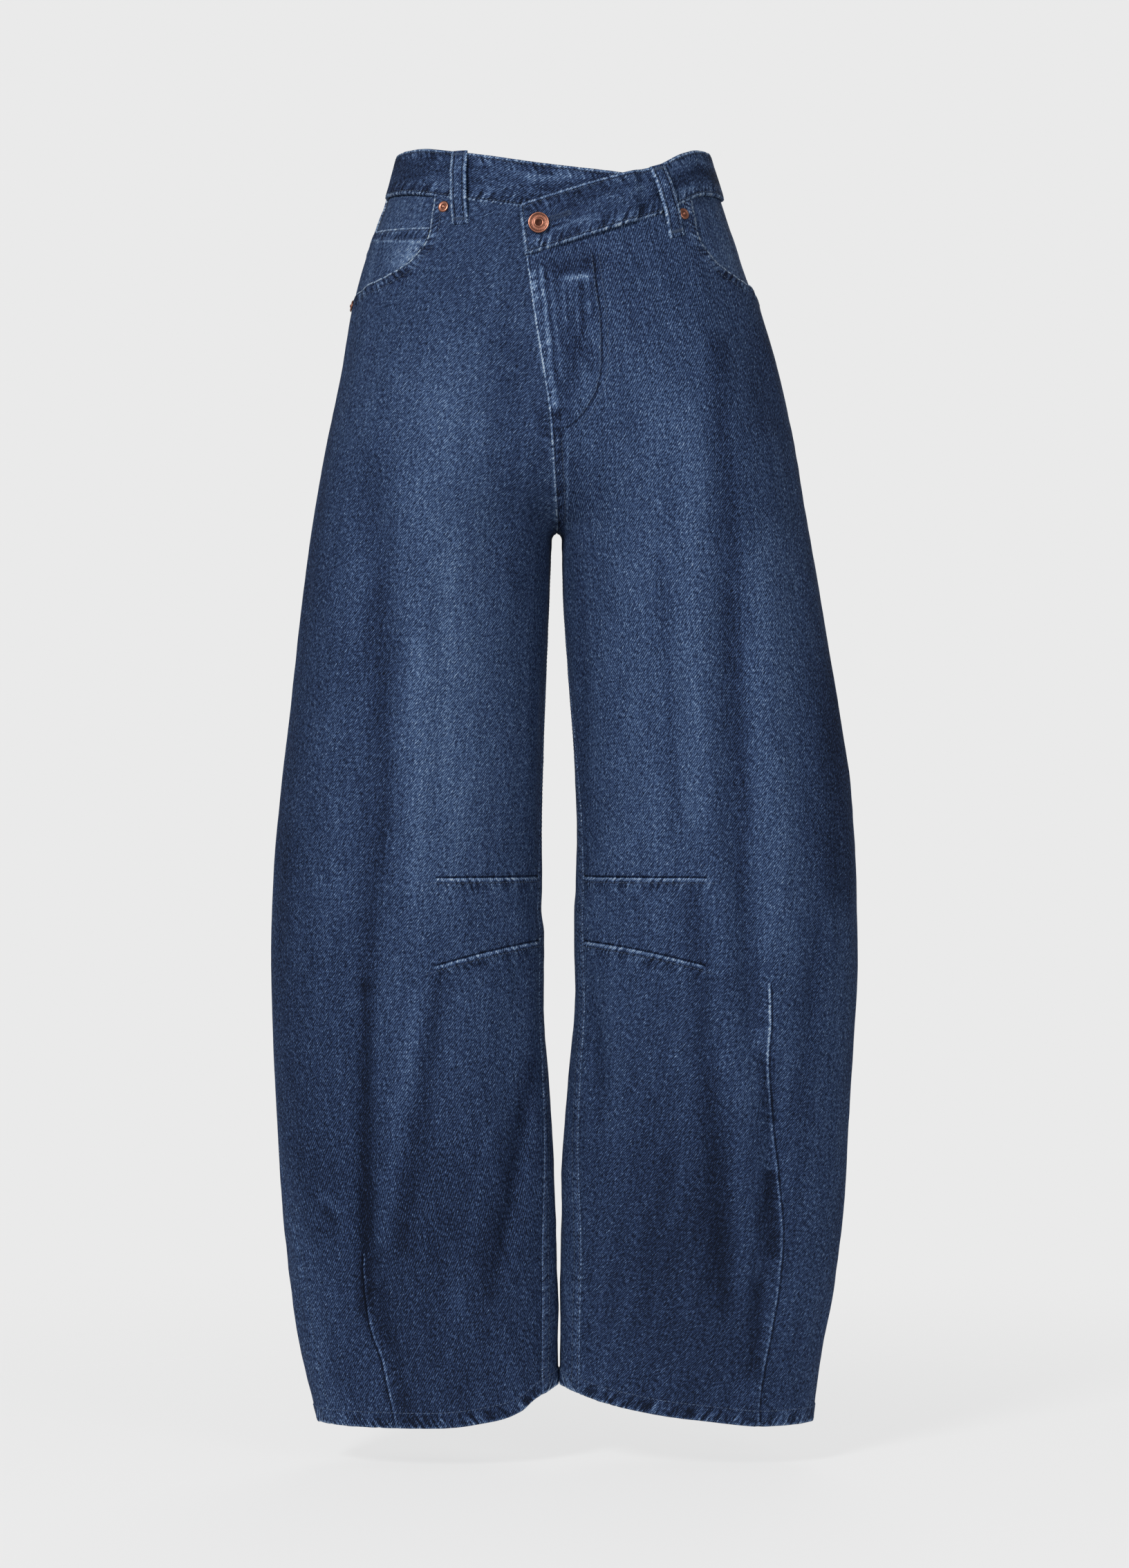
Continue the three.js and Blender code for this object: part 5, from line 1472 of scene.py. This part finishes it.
def zigzags(tree, given, nearest):
    """Thread that swings to and fro along each path, as in a bartack."""
    on = tree.node("GeometryNodeSetPosition", {}, {"Geometry": given, "Position": nearest})
    line = tree.node("GeometryNodeMeshToCurve", {}, {0: on})
    thick = {"Resolution": 5, "Radius": given.other("Width")}
    section = tree.node("GeometryNodeCurvePrimitiveCircle", {}, thick)
    return tree.node("GeometryNodeCurveToMesh", {}, {0: line, 1: section, "Fill Caps": True})


def bar(centre, across, normal, wide=TACK_WIDE, deep=TACK_DEEP, pitch=0.75):
    """The zigzag of a bartack: its long way is across, and it is that wide and deep."""
    count = round(wide / pitch)
    steps = np.linspace(-wide / 2, wide / 2, 2 * count)[:, None]
    swing = np.where(np.arange(2 * count) % 2, 0.5, -0.5)[:, None] * deep
    points = centre + unit(across) * steps + unit(np.cross(normal, across)) * swing
    return points, np.tile(normal, (len(points), 1))


bar_stitching = thread_group("bar_stitching", ("Width",), zigzags)
for name, (is_front, x, z_top, x_foot, z_foot) in LOOPS.items():
    t = np.linspace(0, 1, 49)[:, None]
    wide = spaced((-0.5, -0.25, 5), (-0.25, 0.25, 4), (0.25, 0.5, 5)) * LOOP_WIDE
    tilt = math.atan2(x_foot - x, z_top - z_foot)
    facing = abs(waist_cloth(is_front, (x + x_foot) / 2, (z_top + z_foot) / 2)[1][1])
    px = mixed(x, x_foot, t) + wide * math.cos(tilt) * facing
    pz = mixed(z_top, z_foot, t) + wide * math.sin(tilt)
    points, normals = waist_cloth(is_front, px, pz)
    off = column(LOOP_OFF, 1)(t[:, 0])[:, None] + LOOP_SKIN
    marks = Marks(px.shape)
    way = (z_top - z_foot) * t + 0 * wide
    marks.relief += 0.12 * ripple(13, way / 7, wide / 6 + x)
    for edge_gap in (LOOP_WIDE / 2 + wide, LOOP_WIDE / 2 - wide):
        marks.seam(edge_gap + 0 * t, way, (LOOP_ROW,), roll=0.2, pucker=0.2)
    face = points + normals * off[..., None]
    loop = cloth_piece(
        name + "_cloth", worn_denim, face, normals, LOOP_SKIN, np.stack([wide + 0 * t, pz], -1), marks,
        bulge=0.7, behind=0.0,
    )
    dress(loop, name, ["waistband"])
    rows_down = [(mixed(face[3:-3, a], face[3:-3, b], 0.5), normals[3:-3, a]) for a, b in ((3, 4), (-4, -5))]
    sew("stitches_" + name, rows_down, loop)
    middle = face.shape[1] // 2
    tacks = [bar(face[k, middle], face[k, -1] - face[k, 0], normals[k, middle]) for k in (2, -4)]
    sew("bartacks_" + name, tacks, loop, bar_stitching, Width=TACK_THREAD * MM)

# Bartack and buttonhole: close zigzags of the same thread. The bartack holds the foot of the fly, and the
# buttonhole in the band's over end has one zigzag down each side and a short one across its outer end.
FLY_TACK_IN = 6.0
FLY_TACK_DEEP = 2.2
FLY_TACK_LEAN = (1.0, 0.0, 0.1)
rows = rows_of["left", True]
fly_turn = rows.turn_at(rows.length(FLY_FOOT) - FLY_TACK_IN, FLY_FOOT)
tack_at, tack_normal = (v.reshape(3) for v in on_cloth("left", fly_turn, np.array([FLY_FOOT])))
fly_tack = bar(tack_at, np.array(FLY_TACK_LEAN), tack_normal, deep=FLY_TACK_DEEP)
sew("bartack_fly", [fly_tack], fronts["left"], bar_stitching, Width=TACK_THREAD * MM)

HOLE_AT = (-3.0, -66.5)
HOLE_LEAN = (1.0, 0.0, 0.33)
# The zigzags' lengths and depths, and how far each lies from the middle
HOLE_SIDE_LONG, HOLE_SIDE_DEEP, HOLE_SIDE_OUT = 20.0, 1.7, 1.25
HOLE_END_LONG, HOLE_END_DEEP, HOLE_END_OUT = 3.4, 1.6, 10.5
HOLE_PITCH = 0.62
HOLE_THREAD = 0.3
hole_at, hole_normal = waist_cloth(True, *HOLE_AT)
hole_at = hole_at + hole_normal * (BAND_OUT + OVER_LIFT)
along_band = unit(np.array(HOLE_LEAN))
across_hole = np.cross(hole_normal, along_band)
edges = [
    bar(hole_at + across_hole * off, along_band, hole_normal, HOLE_SIDE_LONG, HOLE_SIDE_DEEP, HOLE_PITCH)
    for off in (HOLE_SIDE_OUT, -HOLE_SIDE_OUT)
]
end_at = hole_at + along_band * HOLE_END_OUT
edges.append(bar(end_at, across_hole, hole_normal, HOLE_END_LONG, HOLE_END_DEEP, HOLE_PITCH))
sew("buttonhole", edges, waistband, bar_stitching, Width=HOLE_THREAD * MM)

# Button and rivets: turned in copper-coloured metal and a little worn, each with a raised rim and a hollow.
# The button, with a second ring and small beads, is fixed to the band's under end and comes through the
# buttonhole, and the rivets go through the cloth at the corners of the pocket mouths.
BUTTON_AT = (-18.1, -72.0)
MOUTH_RIVETS_AT = {"right": (-94.5, -56.0), "left": (98.5, -60.6)}
SIDE_RIVET_IN = 8.0
SIDE_RIVET_LEVEL = -127.0
METAL_OFF = 0.3  # how far the metal stands off the cloth
# Radius, height and how hollow the metal lies there, from the middle of the back to the middle of the front
BUTTON_TURNED = [
    (0.01, 0.0, 1.0), (6.2, 0.0, 1.0), (7.6, 0.9, 0.7), (8.35, 1.8, 0.3), (8.5, 2.5, 0.0), (8.3, 3.05, 0.0),
    (7.9, 3.3, 0.0), (7.4, 3.25, 0.0), (7.0, 2.95, 0.5), (6.6, 2.7, 0.8), (5.6, 2.62, 0.35), (4.6, 2.6, 0.5),
    (4.2, 2.75, 0.2), (3.85, 3.15, 0.0), (3.4, 3.3, 0.0), (3.0, 3.15, 0.1), (2.6, 2.7, 0.6), (2.1, 2.15, 1.0),
    (1.2, 1.75, 1.3), (0.01, 1.65, 1.4),
]
RIVET_TURNED = [
    (0.01, 0.0, 1.0), (4.6, 0.0, 1.0), (4.75, 0.25, 0.4), (4.7, 0.6, 0.1), (4.3, 1.0, 0.0), (3.7, 1.25, 0.0),
    (3.0, 1.1, 0.2), (2.3, 0.85, 0.6), (1.8, 0.85, 0.9), (1.45, 1.2, 0.4), (1.15, 1.7, 0.0), (0.7, 1.95, 0.0),
    (0.01, 2.0, 0.0),
]
BEADS = 24
BEADS_OUT = 5.6
BEADS_UP = 2.5
BEAD_SIZE = 0.42
BEAD_LEVELS = (0.0, 0.5, 0.87)
BEAD_HOLLOW = 0.2


def copper(name):
    """Plated metal: warm where it is handled, brown and duller in its hollows."""
    made, tree = material(name)
    place = tree.node("ShaderNodeTexCoord", output="Object")
    fine = tree.node("ShaderNodeTexNoise", {}, {"Vector": place, "Scale": 1400.0, "Detail": 3.0})
    broad = tree.node("ShaderNodeTexNoise", {}, {"Vector": place, "Scale": 300.0, "Detail": 2.0})
    hollow = tree.node("ShaderNodeAttribute", {"attribute_name": "hollow"}, output="Fac")
    dull = (hollow * 0.75 + broad * 0.7 - 0.3).clamped()
    tones = {0: dull, 6: linear(176, 120, 100), 7: linear(70, 44, 37)}
    colour = tree.node("ShaderNodeMix", {"data_type": "RGBA"}, tones, 2)
    bump = tree.node("ShaderNodeBump", {}, {"Strength": 0.25, "Distance": 0.0002, "Height": fine})
    finish_surface(tree, tree.node("ShaderNodeBsdfPrincipled", {}, {
        "Base Color": colour, "Metallic": 1.0, "Roughness": 0.28 + dull * 0.3 + fine * 0.12, "Normal": bump,
    }))
    return made


copper_finish = copper("worn_copper")


def turned(node, profile, place, normal, segments, beads=0):
    """A turned piece from rows of radius, height and how hollow it lies, with a circle of beads set on it."""
    radius, height, hollow = np.array(profile).T
    side_on = unit(np.cross(normal, [0.0, 0.0, 1.0]))
    upright = np.cross(side_on, normal)

    def spokes(count):
        angle = np.linspace(0, 2 * math.pi, count, endpoint=False)[:, None]
        return np.cos(angle) * side_on + np.sin(angle) * upright

    points = [place + h * normal + r * spokes(segments) for r, h in zip(radius, height)]
    number = np.arange(len(radius) * segments).reshape(len(radius), segments)
    after = np.roll(number, -1, axis=1)
    faces = np.stack([number[:-1], number[1:], after[1:], after[:-1]], -1).reshape(-1, 4).tolist()
    faces += [number[0].tolist(), number[-1][::-1].tolist()]
    shade = np.repeat(hollow, segments).tolist()
    for k, spoke in enumerate(spokes(beads)):
        centre = place + normal * BEADS_UP + BEADS_OUT * spoke
        for level in BEAD_LEVELS:
            flat = math.sqrt(1 - level**2) * BEAD_SIZE
            points.append(centre + level * BEAD_SIZE * normal + flat * spokes(6))
        ring = number.size + 18 * k + np.arange(18).reshape(3, 6)
        after = np.roll(ring, -1, axis=1)
        faces += np.stack([ring[:-1], after[:-1], after[1:], ring[1:]], -1).reshape(-1, 4).tolist()
        faces += [ring[2].tolist(), ring[0][::-1].tolist()]
        shade += [BEAD_HOLLOW] * 18
    mesh = bpy.data.meshes.new(node + "_turned")
    mesh.from_pydata((np.concatenate(points) * MM).tolist(), [], faces)
    mesh.shade_smooth()
    mesh.attributes.new("hollow", "FLOAT", "POINT").data.foreach_set("value", shade)
    mesh.materials.append(copper_finish)
    piece = placed(node + "_turned", mesh)
    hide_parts(node)
    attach(piece, "root")


place, normal = waist_cloth(True, *BUTTON_AT)
turned("button", BUTTON_TURNED, place + normal * (BAND_OUT + OVER_LIFT + METAL_OFF), normal, 96, BEADS)
for side, at in MOUTH_RIVETS_AT.items():
    place, normal = waist_cloth(True, *at)
    turned("rivet_mouth_" + side, RIVET_TURNED, place + normal * METAL_OFF, normal, 64)
    low = np.array([SIDE_RIVET_LEVEL])
    place, normal = (v[0] for v in on_cloth(side, rows_of[side, True].turn_at(SIDE_RIVET_IN, low), low))
    turned("rivet_side_" + side, RIVET_TURNED, place + normal * METAL_OFF, normal, 64)
